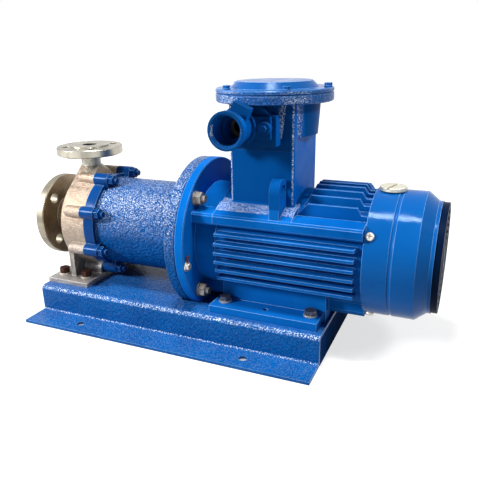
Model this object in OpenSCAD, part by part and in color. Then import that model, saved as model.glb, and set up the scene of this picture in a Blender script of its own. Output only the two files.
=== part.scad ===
// Magnetic drive pump: stainless pump end, lantern bracket and flange motor on a bent-steel base.
// Millimetres, +Z up, +X from the suction flange to the fan end.
// The origin is on the floor, midway between the four fixing holes of the base.

/* [Base] */
// Length of the base beyond the motor's feet
base_margin = 9; // [6:1:40]
// Height of the base's top over the floor
base_h = 50; // [45:1:70]
// Width over the two upright webs
base_w = 234; // [226:1:250]
// Width of each floor lip
lip_w = 48; // [40:1:60]
// Sheet thickness
sheet_t = 5; // [4:0.5:6]
// Inner radius of the bends
bend_r = 3; // [2:0.5:5]
// Spacing of the fixing holes along the base
fix_dx = 300; // [260:1:340]
// Spacing of the fixing holes across the base
fix_dy = 282; // [276:1:288]
// Diameter of the fixing holes
fix_d = 14; // [10:1:18]

/* [Pump end] */
// Diameter of the suction flange
suction_flange_d = 150; // [145:1:155]
// Bore of the suction port
suction_bore_d = 40; // [36:1:44]
// Bolt circle of the suction flange
suction_pcd = 110; // [105:1:112]
// Bolt hole of the suction flange
suction_hole_d = 18; // [14:1:18]
// Diameter of the discharge flange
discharge_flange_d = 115; // [110:1:120]
// Bore of the discharge port
discharge_bore_d = 25; // [20:1:27]
// Bolt circle of the discharge flange
discharge_pcd = 85; // [82:1:86]
// Bolt hole of the discharge flange
discharge_hole_d = 14; // [12:1:14]
// Suction face to the discharge axis
suction_reach = 80; // [78:1:90]
// Shaft axis to the discharge face
discharge_reach = 135; // [130:1:145]
// Diameter of the casing body
casing_d = 168; // [160:1:172]
// Circle of the casing studs outside the casing body
stud_out = 4; // [3:0.5:6]
// Number of casing studs
stud_n = 8; // [8]

/* [Bracket] */
// Length between the casing joint and the motor joint
bracket_len = 202; // [190:1:220]
// Step from the casing body in to the lantern
bracket_step = 6.5; // [5:0.5:8]
// Thickness of the bracket's motor flange
bracket_flange_t = 18; // [16:1:20]

/* [Motor] */
// Height of the shaft over the motor's feet
shaft_h = 100; // [98:1:104]
// Diameter of the motor flange
motor_flange_d = 250; // [248:1:252]
// Thickness of the motor flange
motor_flange_t = 15; // [13:1:16]
// Bolt circle of the motor flange
motor_pcd = 215; // [212:1:216]
// Bolt hole of the motor flange
motor_hole_d = 14.5; // [13:0.5:15]
// Diameter of the motor's spigot
spigot_d = 180; // [178:1:180]
// Diameter of the shaft end
shaft_d = 28; // [26:1:28]
// Length of the shaft end
shaft_e = 60; // [58:1:62]
// Foot holes across the motor
foot_a = 160; // [156:1:164]
// Foot holes along the motor
foot_b = 140; // [130:1:144]
// Flange face to the first foot hole
foot_c = 63; // [60:1:66]
// Cooling fins outside the fan cover
fin_out = 5; // [3:0.5:7]
// Diameter of the fan cover
fan_cover_d = 190; // [184:1:196]

/* [Terminal box] */
// Width of the tower along the motor
tower_x = 101; // [98:1:104]
// Width of the tower across the motor
tower_y = 115; // [112:1:118]
// Diameter of the box flange and its cover
cover_d = 176; // [172:1:180]
// Joint between box and cover, over the shaft axis
cover_joint = 231; // [229:1:234]

/* [Hidden] */
$fn = 48;
eps = 0.5;
fit = 0.05;
axis_h = base_h + shaft_h;
stud_pcd = casing_d + 2 * stud_out;
bracket_d = casing_d - 2 * bracket_step;
fin_d = fan_cover_d + 2 * fin_out;
rim_c = 1.5;

// Fasteners: thread, width across flats, head height, nut height, washer diameter, washer thickness
m5 = [5, 8, 4, 4, 10, 1];
m6 = [6, 10, 4, 5, 12, 1.5];
m8 = [8, 13, 6, 6.5, 16, 2];
m10 = [10, 16, 7, 9, 21, 2.5];
m12 = [12, 19, 8, 10, 24, 2.5];
function thread(m) = m[0];
function flats(m) = m[1];
function head_h(m) = m[2];
function nut_h(m) = m[3];
function washer_d(m) = m[4];
function washer_t(m) = m[5];
function tapped(m) = m[0] + 2 * fit;
function hole(m) = m[0] + 1;
spring_t = 2.5;
spring_edge = 1;
cap_r = 6.5;
cap_h = 8;
foot_hole_d = 12;
foot_bolt_spare = 3;

// Stations along the shaft axis
joint_x = 32;
casing_x = joint_x - bracket_len;
discharge_setback = 35;
discharge_x = casing_x - discharge_setback;
suction_x = discharge_x - suction_reach;
bracket_flange_x = joint_x - bracket_flange_t;
motor_flange_x = joint_x + motor_flange_t;
shield_len = 35;
frame_x0 = motor_flange_x + shield_len;
frame_len = 226;
frame_x1 = frame_x0 + frame_len;
foot_x = [joint_x + foot_c, joint_x + foot_c + foot_b];
foot_bar_x = [joint_x + 45, joint_x + 219];
box_x = frame_x0 + 66;

// Foot of the pump casing
pump_foot_x = [discharge_x - 45, discharge_x + 40];
pump_foot_y = 97;
pump_foot_t = 8;
pump_web_x = [discharge_x - 11, discharge_x - 1];
pump_web_y = 75;
pump_web_h = 70;
pump_bolt_x = [discharge_x - 30, discharge_x + 19];
pump_bolt_y = 70;

// Base
base_x0 = pump_foot_x[0];
base_x1 = foot_bar_x[1] + base_margin;
lip_y = base_w / 2 + lip_w;
bend_outer = bend_r + sheet_t;
slot_gap = 2;
flange_slot = [bracket_flange_x - slot_gap, motor_flange_x + slot_gap];
flange_slot_y = sqrt(pow(motor_flange_d / 2, 2) - pow(shaft_h, 2)) + slot_gap;
end_plate_chamfer = 6;

// Pump casing
suction_flange_t = 18;
discharge_flange_t = 16;
raised_face = 2;
suction_face_r = 44;
discharge_face_r = 34;
suction_neck_r = [37, 43];
casing_front_x = discharge_x - 15.5;
casing_round = 5;
casing_wall = 8;
stud_a0 = 22.5;
stud_sink = 26;
boss_r = 10;
boss_len = 30;
boss_nose = 6;
rib_sink = 4;
joint_step = 0.3;
low_boss_r = 14;
low_boss_z = 85;
low_boss_len = 46;
neck_r = 17;
flare_z = [casing_d / 2 - 18, casing_d / 2 + 14];
flare_r = neck_r + 1;
flare_x = [casing_front_x + 3, casing_front_x + 42];
flare_y = 50;

// Volute and impeller
pilot_r = casing_d / 2 - casing_wall;
pilot_depth = 17;
shoulder_x = casing_x - pilot_depth;
volute_r1 = pilot_r - 2;
volute_r0 = volute_r1 - 8;
volute_front = 2;
volute_steps = 36;
impeller_r = volute_r0 - 3.5;
impeller_x0 = discharge_x - 8;
impeller_x1 = discharge_x + 12;
impeller_eye_r = 24;
eye_gap = 2.5;
wear_ring_len = 12;
wear_ring_t = 3;
shroud_t = 3;
hub_plate_t = 4;
impeller_hub_r = 17;
vanes = 6;
vane_r = 40;
vane_t = 3.5;
vane_centre = [-2, -33];
vane_start = 20;
throat_r = impeller_r + 3;
hub_x0 = discharge_x - 9;
hub_x1 = casing_x - 22;
impeller_nut_r = 14;
impeller_nut_len = 10;
eye_x = hub_x0 - impeller_nut_len - impeller_nut_r - 4;
gasket_t = 1;
gasket_edge = 0.5;

// Pump shaft and its bearings
pump_shaft_r = 10;
sleeve_r = 13;
sleeve_seat = 2;
sleeve_edge = 0.5;
bush_r = 20;
bush_len = 25;
bush_wall = 8;
bush_lip = 3;
front_bush_x = casing_x - 15;
rear_bush_x = casing_x + 32;
collar_r = 18;
collar_len = 5;
thrust_gap = 0.5;
bush_gap = 0.05;

// Magnetic coupling
drive_web_x = joint_x - shaft_e;
drive_web_t = 12;
drive_hub_r = 26;
drive_hub_x1 = joint_x - 10;
hub_washer_t = 4;
hub_washer_r = 20;
hub_screw_len = 22;
can_gap = 7;
can_wall = 2;
can_end_t = 3;
can_flange_t = 4;
can_end_x = drive_web_x - hub_washer_t - head_h(m10) - can_gap - can_end_t;
carrier_x0 = rear_bush_x + bush_len + collar_len;
carrier_x1 = can_end_x - 11;
cup_lead = 4;
bracket_bore_r = pilot_r - 9;
drive_cup_r = bracket_bore_r - 7;
drive_cup_bore_r = drive_cup_r - 10;
outer_magnet_bore_r = drive_cup_bore_r - 4;
can_bore_r = outer_magnet_bore_r - can_wall - 2;
sheath_r = can_bore_r - 2;
inner_magnet_r = sheath_r - 3;
carrier_r = inner_magnet_r - 7;
magnet_n = 10;
magnet_margin = 2;
magnet_gap_a = 4;
lock_nut_af = 30;
lock_nut_h = 8;
key_w = 8;
key_h = 7;
key_len = 44;
key_depth = 4;
key_x0 = drive_web_x + 6;

// Lantern bracket
lug_len = 28;
lug_r = 10.5;
lug_sink = 5.5;
lug_band = 20;
flange_cone = 10;
spigot_depth = 4.5;
stud_spare = 6;

// Motor body
barrel_r = fan_cover_d / 2 - 9;
frame_wall = 8;
bore_r = barrel_r - frame_wall;
shield_lip = 6;
shield_wall = 7;
rail_y = barrel_r + 6;
rail_z = [barrel_r - 45, barrel_r - 28];
rail_edge = 3;
saddle_z = barrel_r - 16;
saddle_y = 62;
rail_root = [barrel_r - 20, barrel_r - 50];
rail_taper = 2;
rail_top_y = barrel_r - 22;
saddle_drop = 8;
low_rail_y = [22, 28, 44, 50];
low_rail_z = [-barrel_r - 6, 2 - barrel_r, 26 - barrel_r];
saddle_root = [60, 40];
side_fin_x = [frame_x0 + 1, frame_x0 + 4, frame_x1 - 10, frame_x1 - 6];
side_fins = 6;
side_fin_top = 27.5;
side_fin_pitch = 14.5;
fin_t = 4.5;
top_fins = 9;
top_fin_pitch = 15;
top_fin_x0 = frame_x0 + 123;
top_fin_slope = 17;
fin_step = [15, 9];
fin_root = barrel_r - 31;
shield_bolt_at = [[barrel_r - 11.5, barrel_r / 2], [36, 3 - barrel_r]];
shield_bolt_depth = 20;
foot_y = 104;
foot_t = 13;
foot_inner_y = 60;
foot_web_y = 58;
foot_web_t = 10;
foot_web_h = 56;
foot_web_x = [frame_x0 + 4, foot_bar_x[1] + 4];
foot_mid_hole = [8, 6];
gusset_t = 10;
gusset_y = 40;
gusset_h = 50;
gusset_step = 2;
earth_r = 116;
earth_a = -11;
earth_depth = 9;
eyelet_x = [box_x + 24, box_x + 39];
eyelet_y = -70;
eyelet_r = 19;
eyelet_hole_r = 11;
eyelet_top = 115;
eyelet_root = 50;

// Motor inside
bearing_r = 31;
bearing_bore_r = 15;
bearing_w = 16;
bearing_seat = 9;
balls = 9;
ball_r = 4.5;
race_gap = 2.5;
seal_housing_r = 24;
oil_seal_t = 8;
cap_wall = 13;
bearing_cap_t = 6;
bearing_cap_bore_r = 20;
drive_bearing_x = motor_flange_x + 3;
rear_bearing_x = frame_x1 - 18;
shaft_step_r = 18;
rotor_shaft_r = 20;
shaft_mid = [frame_x0 + 6, frame_x1 - 28];
fan_shaft_r = 12.5;
core_x = [frame_x0 + 28, frame_x1 - 50];
core_bore_r = bore_r - 29.5;
rotor_r = core_bore_r - 0.5;
end_ring_len = 12;
end_ring_step = 3;
end_ring_bore_r = 34;
winding_len = 20;
winding_edge = 8;
winding_step = 4;

// Fan end
fan_cover_t = 2;
rear_rim_r = fan_cover_d / 2 - fan_cover_t - 0.2;
rear_rim_x1 = frame_x1 + 12;
rear_rim_t = 3;
rear_wall_t = 8;
rear_bolt_r = bore_r + frame_wall / 2;
rear_bolt_a = 60;
rear_bolt_depth = 18;
fan_cover_gap = 0.5;
fan_cover_x0 = frame_x1 + fan_cover_gap;
fan_drum_len = 71;
fan_drum_x1 = fan_cover_x0 + fan_drum_len;
fan_cone_len = 16;
fan_cone_x1 = fan_drum_x1 + fan_cone_len;
fan_band_len = 5;
fan_lip_len = 9;
fan_band_x1 = fan_cone_x1 + fan_band_len;
fan_cover_x1 = fan_band_x1 + fan_lip_len;
fan_end_r = fan_cover_d / 2 - 12.5;
fan_lip_step = 1.5;
groove_x = fan_cover_x0 + 37;
groove_r = 4;
groove_out = 2.8;
grille_rings = 6;
grille_r0 = 18;
grille_w = 6;
grille_pitch = 9.5;
grille_bar = 8;
fan_x = frame_x1 + 26;
fan_len = 32;
fan_hub_r = 21;
fan_r = fan_cover_d / 2 - 15;
fan_disc = [20, 24];
fan_blade_t = 4;
fan_blades = 6;
circlip_t = 2;
circlip_r = 17;
shaft_end_x = fan_x + fan_len + circlip_t + 5;
cover_screw_x = frame_x1 + 8;
cover_screw_a = 30;
cover_screw_len = 14;
cover_screw_head = [6, 4];
cover_boss_r = 10;
plug_x = frame_x1 + 23;
plug_r = 19.5;
plug_h = 6;
plug_stem_r = 10;
plug_slot = [3.5, 2.5];
plug_slot_a = 60;

// Terminal box
tower_root = 60;
tower_seam = 152;
tower_round = 6;
box_step = 170;
box_wall = 8;
box_neck_r = [66, 70];
box_flange_t = 13;
wire_way = [28, 30];
box_screw_at = [34, 42];
box_screw_depth = 20;
cover_t = 6.5;
cover_cap_h = 10;
cover_cap_r = [67, 57];
cover_spigot_r = 50;
cover_spigot_h = 8;
cover_spigot_wall = 6;
cover_hollow = 20;
cover_bolt_n = 5;
cover_bolt_a0 = 13.7;
cover_bolt_r = cover_d / 2 - 9;
cover_bolt_depth = 10;
board_size = [62, 72, 14];
board_slot = [52, 16];
terminal_dx = 20;
terminal_y = 20;
terminal_sink = 4;
terminal_len = 28;

// Cable entry
gland_x = box_x - 24.5;
gland_z = 187.5;
pad_y = -76;
pad_sink = 4;
pad_x1 = box_x + 30;
pad_z = [-26, 17];
arch_x = box_x - 6;
arch_r = 32;
gland_mouth_y = -125;
gland_bore_r = 14;
gland_flange_r = 27;
gland_flange_t = 10;
gland_neck_r = 22;
gland_ring_r = 27;
gland_ring_t = 8;
gland_flare = 14;
gland_recess_r = 20.5;
gland_recess = 26;
gland_chamfer = 3;
gland_wing_x1 = box_x + 23.5;
gland_wing_z = 15.5;
gland_bolt_at = [[-14, -24], [40, 0]];
gland_bolt_depth = 9;
gland_ear_r = 9;
gland_lug_a = 66;
gland_lug_w = 26;
gland_lug_y = -88.5;
gland_lug_t = 14;
flange_gap = 0.5;
seal_r = gland_bore_r + 5;
seal_t = 12;
cable_r = 9;

// Places children on the shaft axis, their z along +X
module on_axis(x) {
  translate([x, 0, axis_h]) rotate([0, 90, 0]) children();
}

// Disc on the shaft axis
module disc(x0, x1, r) {
  on_axis(x0) cylinder(r = r, h = x1 - x0);
}

// Ring on the shaft axis
module ring(x0, x1, ro, ri) {
  difference() {
    disc(x0, x1, ro);
    disc(x0 - eps, x1 + eps, ri);
  }
}

// Disc on the shaft axis with chamfered rims
module rimmed_disc(x0, x1, r) {
  h = x1 - x0;
  on_axis(x0) rotate_extrude()
    polygon([[0, 0], [r - rim_c, 0], [r, rim_c], [r, h - rim_c], [r - rim_c, h], [0, h]]);
}

// Upright disc with chamfered rims
module rimmed_plate(r, h) {
  rotate_extrude()
    polygon([[0, 0], [r - rim_c, 0], [r, rim_c], [r, h - rim_c], [r - rim_c, h], [0, h]]);
}

// Cone on the shaft axis
module cone(x0, x1, r0, r1) {
  on_axis(x0) cylinder(r1 = r0, r2 = r1, h = x1 - x0);
}

// Repeats children round the shaft axis, angles counted from the front upwards
module around(n, r, a0, x) {
  for (i = [0 : n - 1])
    let (a = a0 + i * 360 / n)
      translate([x, -r * cos(a), axis_h + r * sin(a)]) rotate([0, 90, 0]) children();
}

// Repeats children at the four screws of the drive end shield
module at_shield_screws(x) {
  for (s = [-1, 1], p = shield_bolt_at)
    translate([x, s * p[0], axis_h + p[1]]) rotate([0, 90, 0]) children();
}

// Upright block with round corners, from its ranges along each axis
module round_block(x, y, z, r) {
  h = z[1] - z[0];
  translate([x[0] + r, y[0], z[0]]) cube([x[1] - x[0] - 2 * r, y[1] - y[0], h]);
  translate([x[0], y[0] + r, z[0]]) cube([x[1] - x[0], y[1] - y[0] - 2 * r, h]);
  for (cx = [x[0] + r, x[1] - r], cy = [y[0] + r, y[1] - r])
    translate([cx, cy, z[0]]) cylinder(r = r, h = h);
}

// Block from one corner to the other
module block(x, y, z) {
  translate([x[0], y[0], z[0]]) cube([x[1] - x[0], y[1] - y[0], z[1] - z[0]]);
}

// Hexagon prism
module hex(af, h) {
  cylinder(d = af / cos(30), h = h, $fn = 6);
}

// Hexagon nut
module nut(m) {
  difference() {
    hex(flats(m), nut_h(m));
    translate([0, 0, -eps]) cylinder(d = tapped(m), h = nut_h(m) + 2 * eps);
  }
}

// Round washer
module washer(m) {
  difference() {
    cylinder(d = washer_d(m), h = washer_t(m));
    translate([0, 0, -eps]) cylinder(d = thread(m) + eps, h = washer_t(m) + 2 * eps);
  }
}

// Hexagon bolt, head from z = 0 up and shank down
module bolt(m, len) {
  hex(flats(m), head_h(m));
  translate([0, 0, -len]) cylinder(d = thread(m), h = len + head_h(m) / 2);
}

// Hexagon bolt over its washer
module washer_bolt(m, len) {
  washer(m);
  translate([0, 0, washer_t(m)]) bolt(m, len);
}

// Hexagon bolt over a spring washer and a flat one
module spring_bolt(m, len) {
  washer(m);
  translate([0, 0, washer_t(m) - eps / 2]) cylinder(d = flats(m) + spring_edge, h = spring_t + eps / 2);
  translate([0, 0, washer_t(m) + spring_t]) bolt(m, len);
}

// Socket-head screw, head from z = 0 up and shank down
module cap_screw(m, len) {
  cylinder(r = cap_r, h = cap_h);
  translate([0, 0, -len]) cylinder(d = thread(m), h = len + eps);
}

// Extrudes a front-view outline along +X, its first coordinate along Y
module along_x(x0, x1) {
  translate([x0, 0, 0]) rotate([90, 0, 90]) linear_extrude(x1 - x0) children();
}

// Base

// Quarter ring of a sheet bend
module bend_quarter(y, z) {
  intersection() {
    translate([y, z]) difference() {
      circle(bend_outer);
      circle(bend_r);
    }
    children();
  }
}

// Half of the hat section
module half_hat(side) {
  web = side * base_w / 2;
  top_y = web - side * bend_outer;
  top_z = base_h - bend_outer;
  low_y = web + side * (bend_outer - sheet_t);
  low_z = bend_outer;
  translate([min(0, top_y), base_h - sheet_t]) square([abs(top_y), sheet_t]);
  bend_quarter(top_y, top_z) translate([min(top_y, web), top_z]) square(bend_outer);
  translate([min(web, web - side * sheet_t), low_z]) square([sheet_t, top_z - low_z]);
  bend_quarter(low_y, low_z)
    translate([min(low_y, low_y - side * bend_outer), 0]) square(bend_outer);
  translate([min(low_y, side * lip_y), 0]) square([abs(side * lip_y - low_y), sheet_t]);
}

// Repeats children at the four bolts of a foot, at height z
module base_bolts(xs, y, z) {
  for (x = xs, sy = [-1, 1]) translate([x, sy * y, z]) children();
}

module base_plate() {
  under = base_h - sheet_t - eps;
  through = sheet_t + 2 * eps;
  color("royalblue") difference() {
    along_x(base_x0, base_x1) union() {
      half_hat(-1);
      half_hat(1);
    }
    base_bolts([-1, 1] * fix_dx / 2, fix_dy / 2, -eps) cylinder(d = fix_d, h = through);
    block(flange_slot, [-1, 1] * flange_slot_y, [under, under + through]);
    base_bolts(pump_bolt_x, pump_bolt_y, under) cylinder(d = foot_hole_d, h = through);
    base_bolts(foot_x, foot_a / 2, under) cylinder(d = foot_hole_d, h = through);
  }
}

module base_end_plates() {
  y = base_w / 2 - sheet_t;
  z = base_h - sheet_t;
  c = end_plate_chamfer;
  color("midnightblue") for (x = [base_x0, base_x1 - sheet_t])
    along_x(x, x + sheet_t)
      polygon([[-y, 0], [y, 0], [y, z - c], [y - c, z], [c - y, z], [-y, z - c]]);
}

// Pump end

// One axial stud boss with its rib down to the body
module stud_boss(r, len, depth) {
  cylinder(r = r, h = len);
  translate([0, -r, 0]) cube([depth, 2 * r, len]);
}

// Half section of a rounded boss end, its tip down
module round_nose(r, nose) {
  translate([0, -nose]) square([r - nose, nose]);
  intersection() {
    translate([r - nose, 0]) circle(nose);
    translate([r - nose, -nose]) square(nose);
  }
}

// Repeats a boss with its rib turned to the shaft axis
module stud_ring(x) {
  for (i = [0 : stud_n - 1])
    let (a = stud_a0 + i * 360 / stud_n)
      translate([x, 0, axis_h]) rotate([a - 90, 0, 0]) translate([0, 0, stud_pcd / 2])
        rotate([0, 90, 0]) children();
}

// Outline of the volute, growing with the angle
function spiral(n) = [for (i = [0 : n - 1])
  let (a = i * 360 / n, r = volute_r0 + (volute_r1 - volute_r0) * i / n) [r * cos(a), r * sin(a)]];

// Blend from the discharge neck down to the casing, spread across the pump
module discharge_flare() {
  sides = 32;
  t = 1;
  hull() {
    translate([discharge_x, 0, axis_h + flare_z[1]]) cylinder(r = flare_r, h = t, $fn = sides);
    block(flare_x, [-1, 1] * flare_y, [axis_h + flare_z[0], axis_h + flare_z[0] + t]);
  }
}

module casing_outer() {
  body_r = casing_d / 2;
  round_r = body_r - casing_round;
  round_x = casing_front_x + casing_round;
  neck_x = suction_x + suction_flange_t;
  face_z = axis_h + discharge_reach;
  disc(suction_x, suction_x + suction_flange_t / 2, suction_face_r);
  rimmed_disc(suction_x + raised_face, neck_x, suction_flange_d / 2);
  cone(neck_x - eps, casing_front_x + raised_face, suction_neck_r[0], suction_neck_r[1]);
  disc(casing_front_x, casing_x, round_r);
  disc(round_x, casing_x, body_r);
  on_axis(round_x) rotate_extrude() translate([round_r, 0]) circle(casing_round);
  stud_ring(casing_x - boss_len)
    stud_boss(boss_r, boss_len - joint_step, (stud_pcd - casing_d) / 2 + rib_sink);
  stud_ring(casing_x - boss_len) rotate_extrude() round_nose(boss_r, boss_nose);
  translate([discharge_x, 0, face_z - raised_face - eps])
    cylinder(r = discharge_face_r, h = raised_face + eps);
  translate([discharge_x, 0, face_z - discharge_flange_t])
    rimmed_plate(discharge_flange_d / 2, discharge_flange_t - raised_face);
  translate([discharge_x, 0, axis_h + flare_z[0]])
    cylinder(r = neck_r, h = discharge_reach - flare_z[0] - discharge_flange_t / 2);
  discharge_flare();
  block(pump_foot_x, [-1, 1] * pump_foot_y, [base_h, base_h + pump_foot_t]);
  block(pump_web_x, [-1, 1] * pump_web_y, [base_h, base_h + pump_web_h]);
  for (s = [-1, 1])
    translate([casing_x - low_boss_len, s * stud_pcd / 2 * sin(stud_a0), axis_h - low_boss_z])
      rotate([0, 90, 0]) cylinder(r = low_boss_r, h = low_boss_len - 2 * joint_step);
}

module casing_void() {
  face_z = axis_h + discharge_reach;
  disc(suction_x - eps, eye_x + eps, suction_bore_d / 2);
  disc(eye_x, impeller_x0, impeller_eye_r + eye_gap);
  on_axis(impeller_x0 - volute_front) rotate(180) linear_extrude(shoulder_x - impeller_x0 + volute_front)
    polygon(spiral(volute_steps));
  disc(shoulder_x - eps, casing_x + eps, pilot_r);
  translate([discharge_x, 0, axis_h + throat_r]) cylinder(d = discharge_bore_d, h = discharge_reach);
  around(stud_n, stud_pcd / 2, stud_a0, casing_x - stud_sink)
    cylinder(d = tapped(m10), h = stud_sink + eps);
  around(4, suction_pcd / 2, 45, suction_x - eps)
    cylinder(d = suction_hole_d, h = suction_flange_t + 2 * eps);
  for (a = [45 : 90 : 315])
    translate([discharge_x, 0, face_z - discharge_flange_t - eps]) rotate(a)
      translate([discharge_pcd / 2, 0, 0]) cylinder(d = discharge_hole_d, h = discharge_flange_t + 2 * eps);
  base_bolts(pump_bolt_x, pump_bolt_y, base_h - eps)
    cylinder(d = foot_hole_d, h = pump_foot_t + 2 * eps);
}

module pump_casing() {
  color("lightgray") difference() {
    casing_outer();
    casing_void();
  }
}

module casing_gasket() {
  color("dimgray") ring(shoulder_x, shoulder_x + gasket_t, pilot_r - fit, volute_r1 + gasket_edge);
}

module bearing_housing() {
  back_x = rear_bush_x + bush_len;
  color("silver") difference() {
    union() {
      disc(shoulder_x + gasket_t, casing_x, pilot_r - fit);
      disc(casing_x - eps, back_x, bush_r + bush_wall);
    }
    disc(shoulder_x, back_x + eps, sleeve_r + bush_lip);
    disc(shoulder_x, front_bush_x + bush_len, bush_r + fit);
    disc(rear_bush_x, back_x + eps, bush_r + fit);
  }
}

module front_bearing_bush() {
  color("darkslategray") ring(front_bush_x, front_bush_x + bush_len, bush_r, sleeve_r + bush_gap);
}

module rear_bearing_bush() {
  color("darkslategray") ring(rear_bush_x, rear_bush_x + bush_len, bush_r, sleeve_r + bush_gap);
}

module can_gasket() {
  color("dimgray") ring(casing_x, casing_x + gasket_t, pilot_r - fit, bracket_bore_r - gasket_edge);
}

module isolation_can() {
  x0 = casing_x + gasket_t;
  color("gainsboro") {
    ring(x0, x0 + can_flange_t, pilot_r - fit, can_bore_r);
    ring(x0, can_end_x, can_bore_r + can_wall, can_bore_r);
    disc(can_end_x - fit, can_end_x + can_end_t, can_bore_r + can_wall);
  }
}

module bracket() {
  color("royalblue") difference() {
    union() {
      disc(casing_x, joint_x, bracket_d / 2);
      disc(casing_x, casing_x + lug_band, casing_d / 2);
      stud_ring(casing_x) stud_boss(lug_r, lug_len, (stud_pcd - bracket_d) / 2 + lug_sink);
      rimmed_disc(bracket_flange_x, joint_x, motor_flange_d / 2);
      cone(bracket_flange_x - flange_cone, bracket_flange_x, bracket_d / 2 - eps,
        bracket_d / 2 + flange_cone);
    }
    disc(casing_x - eps, casing_x + gasket_t + can_flange_t, pilot_r + fit);
    disc(casing_x, joint_x + eps, bracket_bore_r);
    disc(joint_x - spigot_depth, joint_x + eps, spigot_d / 2 + fit);
    around(stud_n, stud_pcd / 2, stud_a0, casing_x - eps) cylinder(d = hole(m10), h = lug_len + 2 * eps);
    around(4, motor_pcd / 2, 45, bracket_flange_x - eps)
      cylinder(d = motor_hole_d, h = bracket_flange_t + 2 * eps);
  }
}

module casing_studs() {
  len = stud_sink + lug_len + nut_h(m10) + stud_spare;
  color("silver") around(stud_n, stud_pcd / 2, stud_a0, casing_x - stud_sink)
    cylinder(d = thread(m10), h = len);
}

module casing_nuts() {
  color("royalblue") around(stud_n, stud_pcd / 2, stud_a0, casing_x + lug_len) nut(m10);
}

module pump_foot_bolts() {
  len = washer_t(m10) + spring_t + pump_foot_t + sheet_t + nut_h(m10) + foot_bolt_spare;
  color("saddlebrown") base_bolts(pump_bolt_x, pump_bolt_y, base_h + pump_foot_t)
    spring_bolt(m10, len);
}

module pump_foot_nuts() {
  color("silver") base_bolts(pump_bolt_x, pump_bolt_y, base_h - sheet_t - nut_h(m10)) nut(m10);
}

// Pump rotor

module impeller_vane(h) {
  intersection() {
    translate([vane_centre[0], vane_centre[1], 0]) difference() {
      cylinder(r = vane_r, h = h);
      translate([0, 0, -eps]) cylinder(r = vane_r - vane_t, h = h + 2 * eps);
    }
    cylinder(r = impeller_r - eps, h = h);
    block([vane_start, impeller_r], [-impeller_r, vane_t], [0, h]);
  }
}

module impeller() {
  vane_h = impeller_x1 - impeller_x0 - hub_plate_t + 2 * eps;
  color("silver") difference() {
    union() {
      disc(hub_x0, hub_x1, impeller_hub_r);
      disc(impeller_x1 - hub_plate_t, impeller_x1, impeller_r);
      ring(impeller_x0, impeller_x0 + shroud_t, impeller_r, impeller_eye_r - wear_ring_t + eps);
      ring(impeller_x0 - wear_ring_len, impeller_x0 + eps, impeller_eye_r, impeller_eye_r - wear_ring_t);
      for (i = [0 : vanes - 1]) on_axis(impeller_x0 + eps) rotate(i * 360 / vanes) impeller_vane(vane_h);
    }
    disc(hub_x0 - eps, hub_x1 + eps, pump_shaft_r + fit);
  }
}

module impeller_nut() {
  r = impeller_nut_r;
  x = hub_x0 - impeller_nut_len;
  color("silver") difference() {
    union() {
      disc(x, hub_x0, r);
      on_axis(x) rotate_extrude() intersection() {
        circle(r);
        translate([0, -r]) square(r);
      }
    }
    disc(x - 2 * eps, hub_x0 + eps, pump_shaft_r + fit);
  }
}

module pump_shaft() {
  color("silver") {
    disc(hub_x0 - impeller_nut_len - eps, carrier_x1 + lock_nut_h, pump_shaft_r);
    disc(front_bush_x + bush_len + sleeve_seat, rear_bush_x - sleeve_seat, sleeve_r - sleeve_edge);
  }
}

module shaft_sleeves() {
  color("dimgray") {
    ring(front_bush_x - thrust_gap, front_bush_x + bush_len + sleeve_seat, sleeve_r, pump_shaft_r + fit);
    ring(rear_bush_x - sleeve_seat, rear_bush_x + bush_len + thrust_gap, sleeve_r, pump_shaft_r + fit);
  }
}

module thrust_collars() {
  color("dimgray") {
    ring(hub_x1, front_bush_x - thrust_gap, collar_r, pump_shaft_r + fit);
    ring(rear_bush_x + bush_len + thrust_gap, carrier_x0, collar_r, pump_shaft_r + fit);
  }
}

module inner_magnet_carrier() {
  color("slategray") ring(carrier_x0, carrier_x1, carrier_r, pump_shaft_r + fit);
}

// Ring of magnet blocks between two radii
module magnet_ring(ri, ro) {
  len = carrier_x1 - carrier_x0 - 2 * magnet_margin;
  for (i = [0 : magnet_n - 1])
    on_axis(carrier_x0 + magnet_margin) rotate(i * 360 / magnet_n)
      rotate_extrude(angle = 360 / magnet_n - magnet_gap_a)
        translate([ri, 0]) square([ro - ri, len]);
}

module inner_magnets() {
  color("dimgray") magnet_ring(carrier_r + fit, inner_magnet_r);
}

module inner_magnet_sheath() {
  color("gainsboro") difference() {
    disc(carrier_x0, carrier_x1, sheath_r);
    disc(carrier_x0 + magnet_margin, carrier_x1 - magnet_margin, inner_magnet_r + fit);
    disc(carrier_x0 - eps, carrier_x1 + eps, carrier_r + fit);
  }
}

module rotor_lock_nut() {
  color("silver") on_axis(carrier_x1) difference() {
    hex(lock_nut_af, lock_nut_h);
    translate([0, 0, -eps]) cylinder(r = pump_shaft_r + fit, h = lock_nut_h + 2 * eps);
  }
}

// Drive rotor

module outer_magnet_carrier() {
  w = key_w + 2 * fit;
  cup_x = carrier_x0 - cup_lead;
  color("slategray") difference() {
    union() {
      disc(cup_x, drive_web_x + drive_web_t, drive_cup_r);
      disc(drive_web_x, drive_hub_x1, drive_hub_r);
    }
    disc(cup_x - eps, drive_web_x, drive_cup_bore_r);
    disc(drive_web_x - eps, drive_hub_x1 + eps, shaft_d / 2 + fit);
    translate([drive_web_x - eps, -w / 2, axis_h])
      cube([shaft_e, w, shaft_d / 2 + key_h - key_depth + eps]);
  }
}

module outer_magnets() {
  color("dimgray") magnet_ring(outer_magnet_bore_r, drive_cup_bore_r - fit);
}

module shaft_key() {
  color("gray") translate([key_x0, -key_w / 2, axis_h + shaft_d / 2 - key_depth])
    cube([key_len, key_w, key_h]);
}

module hub_washer() {
  color("silver") ring(drive_web_x - hub_washer_t, drive_web_x, hub_washer_r, hole(m10) / 2);
}

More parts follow.
